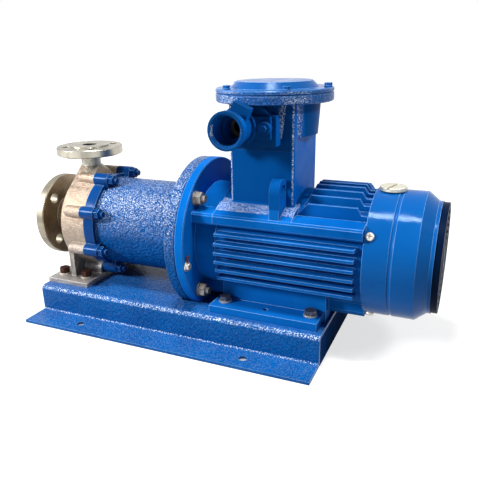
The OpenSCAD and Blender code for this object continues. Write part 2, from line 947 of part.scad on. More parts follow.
module hub_screw() {
  color("silver") on_axis(drive_web_x - hub_washer_t) {
    translate([0, 0, -head_h(m10)]) hex(flats(m10), head_h(m10));
    translate([0, 0, -eps]) cylinder(d = thread(m10), h = hub_screw_len + hub_washer_t);
  }
}

module motor_shaft() {
  r = shaft_d / 2;
  bearing_end = drive_bearing_x + bearing_w;
  color("silver") difference() {
    union() {
      disc(drive_web_x, joint_x + eps, r);
      disc(joint_x, bearing_end, bearing_bore_r - fit);
      disc(bearing_end, shaft_mid[0], shaft_step_r);
      disc(shaft_mid[0], shaft_mid[1], rotor_shaft_r);
      disc(shaft_mid[1], rear_bearing_x, shaft_step_r);
      disc(rear_bearing_x, rear_bearing_x + bearing_w, bearing_bore_r - fit);
      disc(rear_bearing_x + bearing_w - eps, shaft_end_x, fan_shaft_r);
    }
    disc(drive_web_x - eps, drive_web_x + hub_screw_len + eps, tapped(m10) / 2);
    translate([key_x0 - fit, -key_w / 2 - fit, axis_h + r - key_depth])
      cube([key_len + 2 * fit, key_w + 2 * fit, key_h + eps]);
  }
}

module rotor_core() {
  color("gray") {
    ring(core_x[0], core_x[1], rotor_r, rotor_shaft_r + fit);
    ring(core_x[0] - end_ring_len, core_x[0] + eps, rotor_r - end_ring_step, end_ring_bore_r);
    ring(core_x[1] - eps, core_x[1] + end_ring_len, rotor_r - end_ring_step, end_ring_bore_r);
  }
}

module cooling_fan() {
  color("dimgray") difference() {
    union() {
      disc(fan_x, fan_x + fan_len, fan_hub_r);
      disc(fan_x + fan_disc[0], fan_x + fan_disc[1], fan_r);
      for (i = [0 : fan_blades - 1])
        on_axis(fan_x) rotate(i * 360 / fan_blades)
          block([fan_hub_r - fan_blade_t, fan_r - eps], [-1, 1] * fan_blade_t / 2,
            [0, fan_disc[1] - eps]);
    }
    disc(fan_x - eps, fan_x + fan_len + eps, fan_shaft_r + fit);
  }
}

module fan_circlip() {
  color("silver") ring(fan_x + fan_len, fan_x + fan_len + circlip_t, circlip_r, fan_shaft_r + fit);
}

// Motor

// Upper corner rail, in the end view of the motor
module rail_outline(s) {
  polygon([[s * rail_root[0], rail_root[1]], [s * (rail_y - rail_taper), rail_z[0]],
    [s * rail_y, rail_z[0] + rail_edge], [s * rail_y, rail_z[1] - rail_edge],
    [s * (rail_y - rail_edge), rail_z[1]], [s * rail_top_y, saddle_z - saddle_drop]]);
}

// Lower corner rail, in the end view of the motor
module low_rail_outline(s) {
  polygon([[s * low_rail_y[0], low_rail_z[2]], [s * low_rail_y[3], low_rail_z[2]],
    [s * low_rail_y[3], low_rail_z[1]], [s * low_rail_y[2], low_rail_z[0]],
    [s * low_rail_y[1], low_rail_z[0]], [s * low_rail_y[0], low_rail_z[1]]]);
}

// The four corner rails between two stations
module rails(x0, x1) {
  for (s = [-1, 1]) {
    along_x(x0, x1) translate([0, axis_h]) rail_outline(s);
    along_x(x0, x1) translate([0, axis_h]) low_rail_outline(s);
  }
}

module drive_end_shield() {
  bearing_end = drive_bearing_x + bearing_w;
  color("royalblue") difference() {
    union() {
      disc(joint_x - spigot_depth + eps, joint_x + eps, spigot_d / 2);
      rimmed_disc(joint_x, motor_flange_x, motor_flange_d / 2);
      disc(motor_flange_x - eps, frame_x0, barrel_r);
      disc(frame_x0 - eps, frame_x0 + shield_lip, bore_r - fit);
      rails(motor_flange_x - eps, frame_x0);
    }
    difference() {
      disc(motor_flange_x + spigot_depth, frame_x0 + shield_lip + eps, bore_r - shield_wall);
      disc(motor_flange_x, bearing_end, bearing_r + cap_wall);
    }
    disc(joint_x - spigot_depth, joint_x + shield_lip, bracket_bore_r - cup_lead);
    disc(drive_bearing_x, bearing_end + eps, bearing_r + fit);
    disc(joint_x, drive_bearing_x + eps, bearing_bore_r + shield_lip);
    disc(drive_bearing_x - oil_seal_t, drive_bearing_x + eps, seal_housing_r + fit);
    around(4, motor_pcd / 2, 45, joint_x - eps)
      cylinder(d = motor_hole_d, h = motor_flange_t + 2 * eps);
    at_shield_screws(joint_x - spigot_depth)
      cylinder(r = cap_r + eps, h = cap_h + shield_lip + eps);
    at_shield_screws(joint_x)
      cylinder(d = hole(m8), h = frame_x0 - joint_x + eps);
    around(1, earth_r, earth_a, motor_flange_x - earth_depth)
      cylinder(d = tapped(m6), h = earth_depth + eps);
  }
}

module shaft_seal() {
  color("black") ring(drive_bearing_x - oil_seal_t, drive_bearing_x, seal_housing_r, bearing_bore_r);
}

// Ball bearing from two rings and a row of balls
module ball_bearing(x) {
  mid_r = (bearing_r + bearing_bore_r) / 2;
  difference() {
    union() {
      ring(x, x + bearing_w, bearing_r, mid_r + race_gap);
      ring(x, x + bearing_w, mid_r - race_gap, bearing_bore_r);
    }
    on_axis(x + bearing_w / 2) rotate_extrude() translate([mid_r, 0]) circle(ball_r + fit);
  }
  around(balls, mid_r, 0, x + bearing_w / 2) sphere(r = ball_r);
}

module drive_end_bearing() {
  color("silver") ball_bearing(drive_bearing_x);
}

module drive_bearing_cap() {
  x = drive_bearing_x + bearing_w;
  color("gray") ring(x, x + bearing_cap_t, bearing_r + cap_wall, bearing_cap_bore_r);
}

module rear_bearing() {
  color("silver") ball_bearing(rear_bearing_x);
}

// Side fin at a height from the shaft axis
module side_fin(s, z) {
  tip = sqrt(pow(fin_d / 2, 2) - z * z);
  translate([0, 0, axis_h + z - fin_t / 2]) linear_extrude(fin_t)
    polygon([[side_fin_x[0], s * fin_root], [side_fin_x[1], s * tip], [side_fin_x[2], s * tip],
      [side_fin_x[3], s * fin_root]]);
}

// Top fin at a distance from the middle plane
module top_fin(y) {
  tip = sqrt(pow(fin_d / 2, 2) - y * y);
  low = sqrt(pow(rear_rim_r - 2 * eps, 2) - y * y);
  translate([0, y + fin_t / 2, axis_h]) rotate([90, 0, 0]) linear_extrude(fin_t)
    polygon([[top_fin_x0, fin_root], [top_fin_x0, saddle_z - saddle_drop], [top_fin_x0 + top_fin_slope, tip],
      [frame_x1 - fin_step[0], tip], [frame_x1 - fin_step[1], low], [frame_x1, low], [frame_x1, fin_root]]);
}

// Foot bar with its web and gussets, on one side
module motor_foot() {
  web_y = foot_web_y + foot_web_t;
  block(foot_bar_x, [foot_inner_y, foot_y], [base_h, base_h + foot_t]);
  block(foot_web_x, [foot_web_y, web_y], [base_h, base_h + foot_web_h]);
  for (x = [foot_web_x[0], foot_web_x[1] - gusset_t])
    block([x, x + gusset_t], [gusset_y, web_y - gusset_step], [base_h, base_h + gusset_h]);
}

module lifting_eye() {
  z = axis_h + eyelet_top - eyelet_r;
  translate([eyelet_x[0], eyelet_y, z]) rotate([0, 90, 0])
    cylinder(r = eyelet_r, h = eyelet_x[1] - eyelet_x[0]);
  block(eyelet_x, [eyelet_y - eyelet_r, eyelet_y + eyelet_r], [axis_h + eyelet_root, z]);
}

// Shoulder between the rails that carries the tower
module saddle() {
  edge_y = rail_y - rail_edge;
  along_x(frame_x0, top_fin_x0) translate([0, axis_h])
    polygon([[-edge_y, rail_z[1]], [-saddle_y, saddle_z], [saddle_y, saddle_z], [edge_y, rail_z[1]],
      saddle_root, [-saddle_root[0], saddle_root[1]]]);
}

module frame_outer() {
  disc(frame_x0, frame_x1, barrel_r);
  rails(frame_x0, frame_x1);
  saddle();
  for (s = [-1, 1], k = [0 : side_fins - 1]) side_fin(s, side_fin_top - k * side_fin_pitch);
  motor_foot();
  mirror([0, 1, 0]) motor_foot();
  round_block([box_x - tower_x / 2, box_x + tower_x / 2], [-tower_y / 2, tower_y / 2],
    [axis_h + tower_root, axis_h + tower_seam], tower_round);
  for (k = [0 : top_fins - 1]) top_fin((k - (top_fins - 1) / 2) * top_fin_pitch);
  lifting_eye();
}

// Screw places of the terminal box on the tower
module box_screw_places(z) {
  for (x = [-1, 1] * box_screw_at[0], y = [-1, 1] * box_screw_at[1])
    translate([box_x + x, y, axis_h + z]) children();
}

// Way for the wires from the motor into the terminal box
module wire_opening(z0, z1) {
  round_block([box_x - wire_way[0], box_x + wire_way[0]], [-1, 1] * wire_way[1], [z0, z1], box_wall);
}

module motor_frame() {
  color("royalblue") difference() {
    frame_outer();
    disc(frame_x0 - eps, frame_x1 + eps, bore_r);
    wire_opening(axis_h + tower_root - 2 * tower_round, axis_h + tower_seam + eps);
    base_bolts(foot_x, foot_a / 2, base_h - eps) cylinder(d = foot_hole_d, h = foot_t + 2 * eps);
    base_bolts([(foot_x[0] + foot_x[1]) / 2], foot_a / 2 + foot_mid_hole[1], base_h - eps)
      cylinder(d = foot_mid_hole[0], h = foot_t + 2 * eps);
    at_shield_screws(frame_x0 - eps)
      cylinder(d = tapped(m8), h = shield_bolt_depth + 2 * eps);
    around(4, rear_bolt_r, rear_bolt_a, frame_x1 - rear_bolt_depth - eps)
      cylinder(d = tapped(m6), h = rear_bolt_depth + 2 * eps);
    translate([eyelet_x[0] - eps, eyelet_y, axis_h + eyelet_top - eyelet_r]) rotate([0, 90, 0])
      cylinder(r = eyelet_hole_r, h = eyelet_x[1] - eyelet_x[0] + 2 * eps);
    box_screw_places(tower_seam - box_screw_depth - eps)
      cylinder(d = tapped(m8), h = box_screw_depth + 2 * eps);
  }
}

module stator_core() {
  color("gray") ring(core_x[0], core_x[1], bore_r - fit, core_bore_r);
}

module stator_winding() {
  color("darkorange") {
    ring(core_x[0] - winding_len, core_x[0], bore_r - winding_edge, core_bore_r + winding_step);
    ring(core_x[1], core_x[1] + winding_len, bore_r - winding_edge, core_bore_r + winding_step);
  }
}

module rear_end_shield() {
  wall_x = rear_bearing_x + bearing_w;
  dish_x = frame_x1 + rear_wall_t;
  color("royalblue") difference() {
    union() {
      disc(frame_x1, rear_rim_x1, rear_rim_r);
      disc(frame_x1 - shield_lip, frame_x1 + eps, bore_r - fit);
      disc(rear_bearing_x, frame_x1 + eps, bearing_r + bearing_seat);
    }
    difference() {
      disc(rear_bearing_x - eps, frame_x1, bore_r - shield_wall);
      disc(rear_bearing_x - 2 * eps, frame_x1 + eps, bearing_r + bearing_seat);
    }
    disc(rear_bearing_x - eps, wall_x, bearing_r + fit);
    disc(wall_x - eps, rear_rim_x1 + eps, fan_shaft_r + shield_lip / 3);
    difference() {
      disc(dish_x, rear_rim_x1 + eps, rear_rim_r - rear_rim_t);
      around(4, rear_rim_r - cover_boss_r / 2, cover_screw_a, dish_x - eps)
        cylinder(r = cover_boss_r, h = rear_rim_x1 - frame_x1);
    }
    around(4, rear_bolt_r, rear_bolt_a, frame_x1 - eps)
      cylinder(d = hole(m6), h = rear_rim_x1 - frame_x1);
    cover_screw_places(rear_rim_r - cover_screw_len) cylinder(d = tapped(m6), h = cover_screw_len + eps);
  }
}

// Radial places of the fan cover's screws
module cover_screw_places(r) {
  for (i = [0 : 3])
    translate([cover_screw_x, 0, axis_h]) rotate([90 - cover_screw_a - i * 90, 0, 0])
      translate([0, 0, r]) children();
}

module shield_screws() {
  head_x = joint_x + shield_lip / 3;
  len = frame_x0 + shield_bolt_depth - head_x;
  color("dimgray") at_shield_screws(head_x) {
    cylinder(r = cap_r, h = cap_h);
    cylinder(d = thread(m8), h = len);
  }
}

module rear_shield_bolts() {
  len = rear_wall_t + rear_bolt_depth;
  color("dimgray") around(4, rear_bolt_r, rear_bolt_a, frame_x1 + rear_wall_t) bolt(m6, len);
}

module flange_bolts() {
  len = bracket_flange_t + motor_flange_t + washer_t(m12) + nut_h(m12) + stud_spare;
  color("silver") around(4, motor_pcd / 2, 45, bracket_flange_x) {
    translate([0, 0, -head_h(m12)]) hex(flats(m12), head_h(m12));
    translate([0, 0, -eps]) cylinder(d = thread(m12), h = len);
  }
}

module flange_nuts() {
  color("silver") around(4, motor_pcd / 2, 45, motor_flange_x) {
    washer(m12);
    translate([0, 0, washer_t(m12)]) nut(m12);
  }
}

module motor_foot_bolts() {
  len = washer_t(m10) + foot_t + sheet_t + nut_h(m10) + foot_bolt_spare;
  color("dimgray") base_bolts(foot_x, foot_a / 2, base_h + foot_t) washer_bolt(m10, len);
}

module motor_foot_nuts() {
  color("silver") base_bolts(foot_x, foot_a / 2, base_h - sheet_t - nut_h(m10)) nut(m10);
}

// Half section of the fan cover shrunk by t, radius by station
module fan_cover_outline(t) {
  r = fan_cover_d / 2 - t;
  re = fan_end_r - t;
  x0 = fan_cover_x0 - 10 * t;
  x1 = fan_cover_x1 - t;
  rl = re - fan_lip_step;
  polygon([[0, x0], [r, x0], [r, fan_drum_x1], [re, fan_cone_x1], [re, fan_band_x1], [rl, fan_band_x1],
    [rl, x1], [0, x1]]);
}

module fan_cover() {
  r = fan_cover_d / 2;
  color("royalblue") difference() {
    on_axis(0) rotate_extrude() difference() {
      fan_cover_outline(0);
      fan_cover_outline(fan_cover_t);
    }
    on_axis(groove_x) rotate_extrude() translate([r + groove_out, 0]) circle(groove_r);
    difference() {
      for (i = [0 : grille_rings - 1])
        let (r0 = grille_r0 + i * grille_pitch)
          ring(fan_cover_x1 - 2 * fan_cover_t, fan_cover_x1 + eps, r0 + grille_w, r0);
      for (a = [45, 135])
        on_axis(fan_cover_x1 - 3 * fan_cover_t) rotate(a)
          block([-1, 1] * fan_end_r, [-1, 1] * grille_bar / 2, [0, 4 * fan_cover_t]);
    }
    cover_screw_places(r - 2 * fan_cover_t) cylinder(d = hole(m6), h = 4 * fan_cover_t);
    translate([plug_x, 0, axis_h + r - plug_r]) cylinder(r = plug_stem_r + fit, h = 2 * plug_r);
  }
}

module fan_cover_screws() {
  color("silver") cover_screw_places(fan_cover_d / 2) {
    cylinder(r = cover_screw_head[0], h = cover_screw_head[1]);
    translate([0, 0, -cover_screw_len]) cylinder(d = thread(m6), h = cover_screw_len + eps);
  }
}

module fan_cover_plug() {
  z = axis_h + fan_cover_d / 2;
  color("gainsboro") difference() {
    union() {
      translate([plug_x, 0, z]) cylinder(r = plug_r, h = plug_h);
      translate([plug_x, 0, z - plug_h]) cylinder(r = plug_stem_r, h = plug_h + eps);
    }
    translate([plug_x, 0, z + plug_h - plug_slot[1]]) rotate(plug_slot_a)
      block([-2, 2] * plug_r, [-1, 1] * plug_slot[0] / 2, [0, plug_h]);
  }
}

// Terminal box

// Places children on the axis of the cable entry, their z outwards
module on_gland(y) {
  translate([gland_x, y, axis_h + gland_z]) rotate([90, 0, 0]) children();
}

module at_gland_bolts() {
  for (p = gland_bolt_at) translate([p[0], p[1], 0]) children();
}

module terminal_box() {
  z0 = axis_h + tower_seam;
  z1 = axis_h + cover_joint;
  step = axis_h + box_step;
  hx = tower_x / 2;
  hy = tower_y / 2;
  pad_t = pad_sink - pad_y - hy;
  color("royalblue") difference() {
    union() {
      round_block([box_x - hx, box_x + hx], [-hy, hy], [z0, z1 - eps], tower_round);
      translate([box_x, 0, step]) cylinder(r1 = box_neck_r[0], r2 = box_neck_r[1], h = z1 - step - eps);
      translate([box_x, 0, z1 - box_flange_t]) rimmed_plate(cover_d / 2, box_flange_t);
      translate([0, 0, axis_h + gland_z]) block([gland_x, pad_x1], [pad_y, pad_y + pad_t], pad_z);
      on_gland(pad_y + pad_t) cylinder(r = gland_flange_r + wear_ring_t, h = pad_t);
      on_gland(pad_y + pad_t) translate([arch_x - gland_x, 0, 0]) cylinder(r = arch_r, h = pad_t);
    }
    round_block([box_x - hx + box_wall, box_x + hx - box_wall], [box_wall - hy, hy - box_wall],
      [z0 + box_wall, z1 - box_wall], tower_round);
    translate([box_x, 0, z1 - cover_spigot_h - box_wall / 4])
      cylinder(r = cover_spigot_r + fit, h = cover_spigot_h + box_wall / 4 + eps);
    wire_opening(z0 - eps, z0 + box_wall + eps);
    box_screw_places(tower_seam - eps) cylinder(d = hole(m8), h = box_wall + 2 * eps);
    on_gland(box_wall - hy + eps) cylinder(r = gland_bore_r, h = hy);
    on_gland(pad_y + seal_t) cylinder(r = seal_r, h = seal_t + eps);
    on_gland(pad_y + gland_bolt_depth + eps) at_gland_bolts()
      cylinder(d = tapped(m5), h = gland_bolt_depth + 2 * eps);
    cover_bolt_places(z1 - cover_bolt_depth - eps)
      cylinder(d = tapped(m6), h = cover_bolt_depth + 2 * eps);
  }
}

// Places of the cover's bolts
module cover_bolt_places(z) {
  for (i = [0 : cover_bolt_n - 1])
    translate([box_x, 0, z]) rotate(cover_bolt_a0 + i * 360 / cover_bolt_n)
      translate([cover_bolt_r, 0, 0]) children();
}

module terminal_cover() {
  z = axis_h + cover_joint;
  color("royalblue") difference() {
    union() {
      translate([box_x, 0, z]) rimmed_plate(cover_d / 2, cover_t);
      translate([box_x, 0, z + cover_t - eps])
        cylinder(r1 = cover_cap_r[0], r2 = cover_cap_r[1], h = cover_cap_h);
      translate([box_x, 0, z - cover_spigot_h]) cylinder(r = cover_spigot_r, h = cover_spigot_h + eps);
    }
    translate([box_x, 0, z - cover_spigot_h - eps])
      cylinder(r = cover_spigot_r - cover_spigot_wall, h = cover_hollow);
    cover_bolt_places(z - eps) cylinder(d = hole(m6), h = cover_t + 2 * eps);
  }
}

module cover_bolts() {
  color("gray") cover_bolt_places(axis_h + cover_joint + cover_t)
    washer_bolt(m6, washer_t(m6) + cover_t + cover_bolt_depth);
}

module box_screws() {
  color("dimgray") box_screw_places(tower_seam + box_wall) cap_screw(m8, box_wall + box_screw_depth);
}

module terminal_board() {
  z = axis_h + tower_seam + box_wall;
  h = board_size[2];
  color("saddlebrown") difference() {
    translate([box_x, 0, z]) block([-1, 1] * board_size[0] / 2, [-1, 1] * board_size[1] / 2, [0, h]);
    translate([box_x, 0, z]) block([-1, 1] * board_slot[0] / 2, [-1, 1] * board_slot[1] / 2, [-eps, h + eps]);
    terminal_places(z + terminal_sink) cylinder(d = tapped(m6), h = h);
  }
}

module terminal_places(z) {
  for (x = [-1, 0, 1] * terminal_dx, y = [-1, 1] * terminal_y) translate([box_x + x, y, z]) children();
}

module terminal_studs() {
  color("gold") terminal_places(axis_h + tower_seam + box_wall + terminal_sink) {
    cylinder(d = thread(m6), h = terminal_len);
    translate([0, 0, board_size[2] - terminal_sink]) hex(flats(m6), nut_h(m6));
  }
}

module cable_gland() {
  len = pad_y - gland_mouth_y;
  flare_at = len - gland_ring_t - gland_flare;
  under_flange = axis_h + cover_joint - box_flange_t - flange_gap;
  color("royalblue") difference() {
    on_gland(pad_y) {
      cylinder(r = gland_flange_r, h = gland_flange_t);
      at_gland_bolts() cylinder(r = gland_ear_r, h = gland_flange_t);
      block([0, gland_wing_x1 - gland_x], [-1, 1] * gland_wing_z, [0, gland_flange_t / 2]);
      cylinder(r = gland_neck_r, h = len - eps);
      translate([0, 0, flare_at]) cylinder(r1 = gland_neck_r - eps, r2 = gland_ring_r, h = gland_flare);
      translate([0, 0, len - gland_ring_t]) cylinder(r = gland_ring_r, h = gland_ring_t);
      rotate(gland_lug_a) translate([0, -gland_lug_w / 2, pad_y - gland_lug_y])
        cube([gland_flange_r + gland_ear_r, gland_lug_w, gland_lug_t]);
    }
    translate([gland_x, 0, under_flange]) block([-1, 2] * arch_r, [gland_lug_y, 0], [0, arch_r]);
    on_gland(pad_y + eps) cylinder(r = gland_bore_r, h = len + 2 * eps);
    on_gland(gland_mouth_y + gland_recess) cylinder(r = gland_recess_r, h = gland_recess + eps);
    on_gland(gland_mouth_y + gland_chamfer)
      cylinder(r1 = gland_recess_r, r2 = gland_recess_r + gland_chamfer, h = gland_chamfer);
    on_gland(pad_y + eps) at_gland_bolts() cylinder(d = hole(m5), h = gland_flange_t + 2 * eps);
  }
}

module gland_seal() {
  color("dimgray") on_gland(pad_y + seal_t) difference() {
    cylinder(r = seal_r - fit, h = seal_t);
    translate([0, 0, -eps]) cylinder(r = cable_r, h = seal_t + 2 * eps);
  }
}

module gland_bolts() {
  color("gray") on_gland(pad_y - gland_flange_t) at_gland_bolts() bolt(m5, gland_flange_t + gland_bolt_depth);
}

module earth_screw() {
  color("goldenrod") around(1, earth_r, earth_a, motor_flange_x)
    washer_bolt(m6, earth_depth);
}

base_plate();
base_end_plates();
pump_casing();
casing_gasket();
bearing_housing();
front_bearing_bush();
rear_bearing_bush();
can_gasket();
isolation_can();
bracket();
casing_studs();
casing_nuts();
pump_foot_bolts();
pump_foot_nuts();
impeller();
impeller_nut();
pump_shaft();
shaft_sleeves();
thrust_collars();
inner_magnet_carrier();
inner_magnets();
inner_magnet_sheath();
rotor_lock_nut();
outer_magnet_carrier();
outer_magnets();
shaft_key();
hub_washer();
hub_screw();
motor_shaft();
rotor_core();
cooling_fan();
fan_circlip();
drive_end_shield();
shaft_seal();
drive_end_bearing();
drive_bearing_cap();
motor_frame();
stator_core();
stator_winding();
rear_bearing();
rear_end_shield();
shield_screws();
rear_shield_bolts();
flange_bolts();
flange_nuts();
motor_foot_bolts();
motor_foot_nuts();
fan_cover();
fan_cover_screws();
fan_cover_plug();
terminal_box();
terminal_cover();
cover_bolts();
box_screws();
terminal_board();
terminal_studs();
cable_gland();
gland_seal();
gland_bolts();
earth_screw();
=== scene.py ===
# Looks of the magnetic drive pump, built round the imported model.
import math

import bpy
from mathutils import Matrix, Vector


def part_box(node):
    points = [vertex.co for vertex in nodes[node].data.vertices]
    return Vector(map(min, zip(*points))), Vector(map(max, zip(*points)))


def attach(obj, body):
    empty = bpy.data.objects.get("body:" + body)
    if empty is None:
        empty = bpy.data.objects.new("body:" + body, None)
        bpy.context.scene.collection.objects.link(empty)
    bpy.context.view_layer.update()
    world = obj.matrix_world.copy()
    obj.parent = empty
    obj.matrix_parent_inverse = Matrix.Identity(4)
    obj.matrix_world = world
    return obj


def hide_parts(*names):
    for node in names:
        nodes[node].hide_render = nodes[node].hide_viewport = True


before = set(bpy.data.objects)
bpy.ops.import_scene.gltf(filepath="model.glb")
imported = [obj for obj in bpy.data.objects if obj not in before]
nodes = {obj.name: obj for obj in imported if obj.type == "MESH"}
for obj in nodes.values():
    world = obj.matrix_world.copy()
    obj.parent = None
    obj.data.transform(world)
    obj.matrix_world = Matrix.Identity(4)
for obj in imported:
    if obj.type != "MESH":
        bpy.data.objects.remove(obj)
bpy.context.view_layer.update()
scene = bpy.context.scene

# Axes as places in a vector
X, Y, Z = 0, 1, 2

# Places on the pump end, in metres
AXIS_Z = 0.150
SUCTION_FACE_X = -0.2846
SUCTION_BACK_X = -0.2670
SUCTION_BACK_NEAR = 0.0012
SUCTION_END_X = -0.2655
SUCTION_NECK_END_X = -0.2215
SUCTION_BORE_R = 0.0270
DISCHARGE_X = -0.205
DISCHARGE_END_Z = 0.2685
DISCHARGE_NECK_Z = 0.2430
DISCHARGE_NECK_R = 0.030
DISCHARGE_BORE_R = 0.0132
DISCHARGE_BORE_Z = 0.20
GREY_FROM_Z = 0.165
GREY_AT_Z = 0.115
LOW_BOSS_TOP = 0.080
PUMP_FOOT_TOP = 0.0585
PUMP_WASHER_TOP = 0.0606
BAND_END_X = -0.1410

# Places on the motor, in metres
FLANGE_FRONT_X = 0.0330
FLANGE_BACK_X = 0.0470
MOTOR_WASHER_TOP = 0.0656
SADDLE_Z = (0.2125, 0.2235)
BOX_STRIP_Z = (0.290, 0.296)
TOWER_X = (0.050, 0.206)
TOWER_TOP_Z = 0.400
BOX_FLANGE_Z = 0.3675
COVER_RIM_Z = 0.3865
FAN_COVER_R = 0.095
FAN_LIP_X = 0.4004

# Sizes of the plug in the fan cover, in metres
PLUG_STEM = 0.006
PLUG_STEM_R = 0.010
PLUG_EDGE = 0.0007
PLUG_OVERLAP = 0.0001
SLOT_DEPTH = 0.0030
SLOT_WIDTH = 0.0044
SLOT_TURN = math.radians(75.0)

# Sizes of the fan cover screws, in metres; the dome is in shares of the head's radius and height
SCREW_X = 0.316
SCREW_COUNT = 4
FIRST_SCREW = math.radians(30.0)
SCREW_R = 0.006
SCREW_HEIGHT = 0.004
SCREW_LENGTH = 0.014
SHANK_R = 0.0028
RECESS_R = 0.0034
RECESS_WIDTH = 0.0013
RECESS_DEPTH = 0.0022
SCREW_DOME = ((1.0, 0.0), (1.0, 0.55), (0.93, 0.8), (0.78, 0.96))

# Sizes of the earth tag, in metres; its tongue has rows of height, lean and half width
TAG_R = 0.0085
TAG_HOLE_R = 0.0050
TAG_THICK = 0.0012
TAG_TONGUE = (
    (TAG_R * 0.8, 0.0, 0.0030),
    (TAG_R + 0.002, 0.0010, 0.0028),
    (TAG_R + 0.004, 0.0022, 0.0036),
    (TAG_R + 0.009, 0.0030, 0.0036),
)

# Steps round the turned shapes of the small pieces
PLUG_STEPS = 48
SCREW_STEPS = 32
TAG_STEPS = 32
HALF_STEPS = 20
QUARTER_STEPS = 6

# Camera that matches the photo
CAMERA_AZIMUTH = math.radians(23.92)
CAMERA_ELEVATION = math.radians(19.19)
CAMERA_ROLL = math.radians(-1.13)
CAMERA_PLACE = (0.43945, -0.7971, 0.44178)
FOCAL_PIXELS = 549.32
IMAGE_HEIGHT = 480
SENSOR = 36.0

# Floor and light; a lamp has a name, a place, a target, a width and a power
FLOOR_HALF = 4.0
FLOOR_GREY = (0.42, 0.42, 0.42, 1.0)
WHITE = (1.0, 1.0, 1.0, 1.0)
FLOOR_GLOW = 0.70
GLOW_REACH = (0.5, 2.2)
BASE_MID_X = 0.005
BASE_HALF = (0.250, 0.160)
WORLD_FILL = 0.14
LAMPS = (
    ("front", (-1.5, -1.3, 1.1), (0.0, 0.0, 0.15), 0.5, 62.0),
    ("top", (0.1, -0.3, 2.0), (0.0, 0.0, 0.2), 0.36, 32.0),
    ("right", (1.8, -0.1, 1.5), (0.1, 0.0, 0.25), 0.5, 20.0),
)

# Colours that several materials share
PAINT_SHEEN = (0.55, 0.78, 1.0, 1.0)
BLUE_LIT = (0.003, 0.120, 0.440)
BLUE_DEEP = (0.001, 0.085, 0.345)
# Painted light: a brighter blue for the terminal tower's fan side
TOWER_SIDE_LIT = (0.001, 0.135, 0.560)
# Pale colour of painted sparkle highlights
SPARKLE_HIGHLIGHT = (0.84, 0.92, 0.99)
# Colours of painted highlights along edges, on paint and on cast steel
PAINT_EDGE_HIGHLIGHT = (0.28, 0.54, 0.90)
CAST_EDGE_HIGHLIGHT = (0.86, 0.82, 0.74)
OLD_OIL = (0.42, 0.31, 0.20)

# Parts of the range of noise that are stretched
MIDDLE = (0.35, 0.65)
WIDE = (0.3, 0.7)

# Where the paint gets a painted sparkle highlight, as stops of (upward part of the normal, weight)
BARREL_AIM = ((-0.15, 0.0), (0.1, 0.25), (0.45, 0.65), (0.70, 1.0), (0.80, 0.85), (0.90, 0.45))
BEND_AIM = ((-0.2, 0.0), (0.15, 0.06), (0.35, 0.9), (0.85, 1.0), (0.97, 0.20), (1.0, 0.10))
RIM_AIM = ((-0.3, 0.05), (0.0, 0.15), (0.6, 0.35))

# Directions of rims that get painted glints, and how closely a normal agrees there and along edges with a
# painted highlight
GLINT_WAYS = ((0.656, -0.755, 0.0), (-0.500, -0.866, 0.0))
GLINT_RANGE = (0.955, 0.993)
EDGE_HIGHLIGHT_RANGE = (0.995, 0.90)
BEVEL_SAMPLES = 4


# Shader helpers

def add(tree, kind, inputs=None, **props):
    """A new node; an input takes a socket to link or a value to set."""
    node = tree.nodes.new(kind)
    for key, value in props.items():
        setattr(node, key, value)
    for key, value in (inputs or {}).items():
        if isinstance(value, bpy.types.NodeSocket):
            tree.links.new(value, node.inputs[key])
        else:
            node.inputs[key].default_value = value
    return node


def start(name, **values):
    """A new material with its tree, shader and object coordinates."""
    mat = bpy.data.materials.new(name)
    mat.use_nodes = True
    tree = mat.node_tree
    shader = tree.nodes["Principled BSDF"]
    for key, value in values.items():
        shader.inputs[key.replace("_", " ")].default_value = value
    coords = add(tree, "ShaderNodeTexCoord").outputs["Object"]
    return mat, tree, shader, coords


def finish(tree, shader, colour, rough, normal):
    """Links what a material worked out to its shader."""
    tree.links.new(colour, shader.inputs["Base Color"])
    tree.links.new(rough, shader.inputs["Roughness"])
    tree.links.new(normal, shader.inputs["Normal"])


def shaded(colour, share):
    """A colour made darker or lighter by a share."""
    return tuple(min(1.0, share * part) for part in colour)


def calc(tree, operation, a, b=0.0, c=0.0):
    return add(tree, "ShaderNodeMath", {0: a, 1: b, 2: c}, operation=operation).outputs[0]


def times(tree, a, b):
    return calc(tree, "MULTIPLY", a, b)


def more(tree, a, share, b):
    """The sum of b and a share of a."""
    return calc(tree, "MULTIPLY_ADD", a, share, b)


def vector(tree, operation, a, b):
    return add(tree, "ShaderNodeVectorMath", {0: a, 1: b}, operation=operation).outputs["Vector"]


def agreement(tree, a, b):
    """The dot product of two directions."""
    return add(tree, "ShaderNodeVectorMath", {0: a, 1: b}, operation="DOT_PRODUCT").outputs["Value"]


def part_of(tree, vec, axis):
    return add(tree, "ShaderNodeSeparateXYZ", {0: vec}).outputs[axis]


def spread(tree, value, low, high, to_low=0.0, to_high=1.0):
    """A value carried over from one range to another."""
    inputs = {"Value": value, "From Min": low, "From Max": high, "To Min": to_low, "To Max": to_high}
    return add(tree, "ShaderNodeMapRange", inputs).outputs["Result"]


def noise(tree, vec, scale, detail=3.0, rough=0.5):
    inputs = {"Vector": vec, "Scale": scale, "Detail": detail, "Roughness": rough}
    return add(tree, "ShaderNodeTexNoise", inputs).outputs["Fac"]


def patches(tree, vec, band, scale, detail=3.0, rough=0.5):
    """Noise with a band of it stretched to the range from nothing to one."""
    return spread(tree, noise(tree, vec, scale, detail, rough), *band)


def cells(tree, vec, scale, smooth):
    inputs = {"Vector": vec, "Scale": scale, "Smoothness": smooth}
    return add(tree, "ShaderNodeTexVoronoi", inputs, feature="SMOOTH_F1").outputs["Distance"]


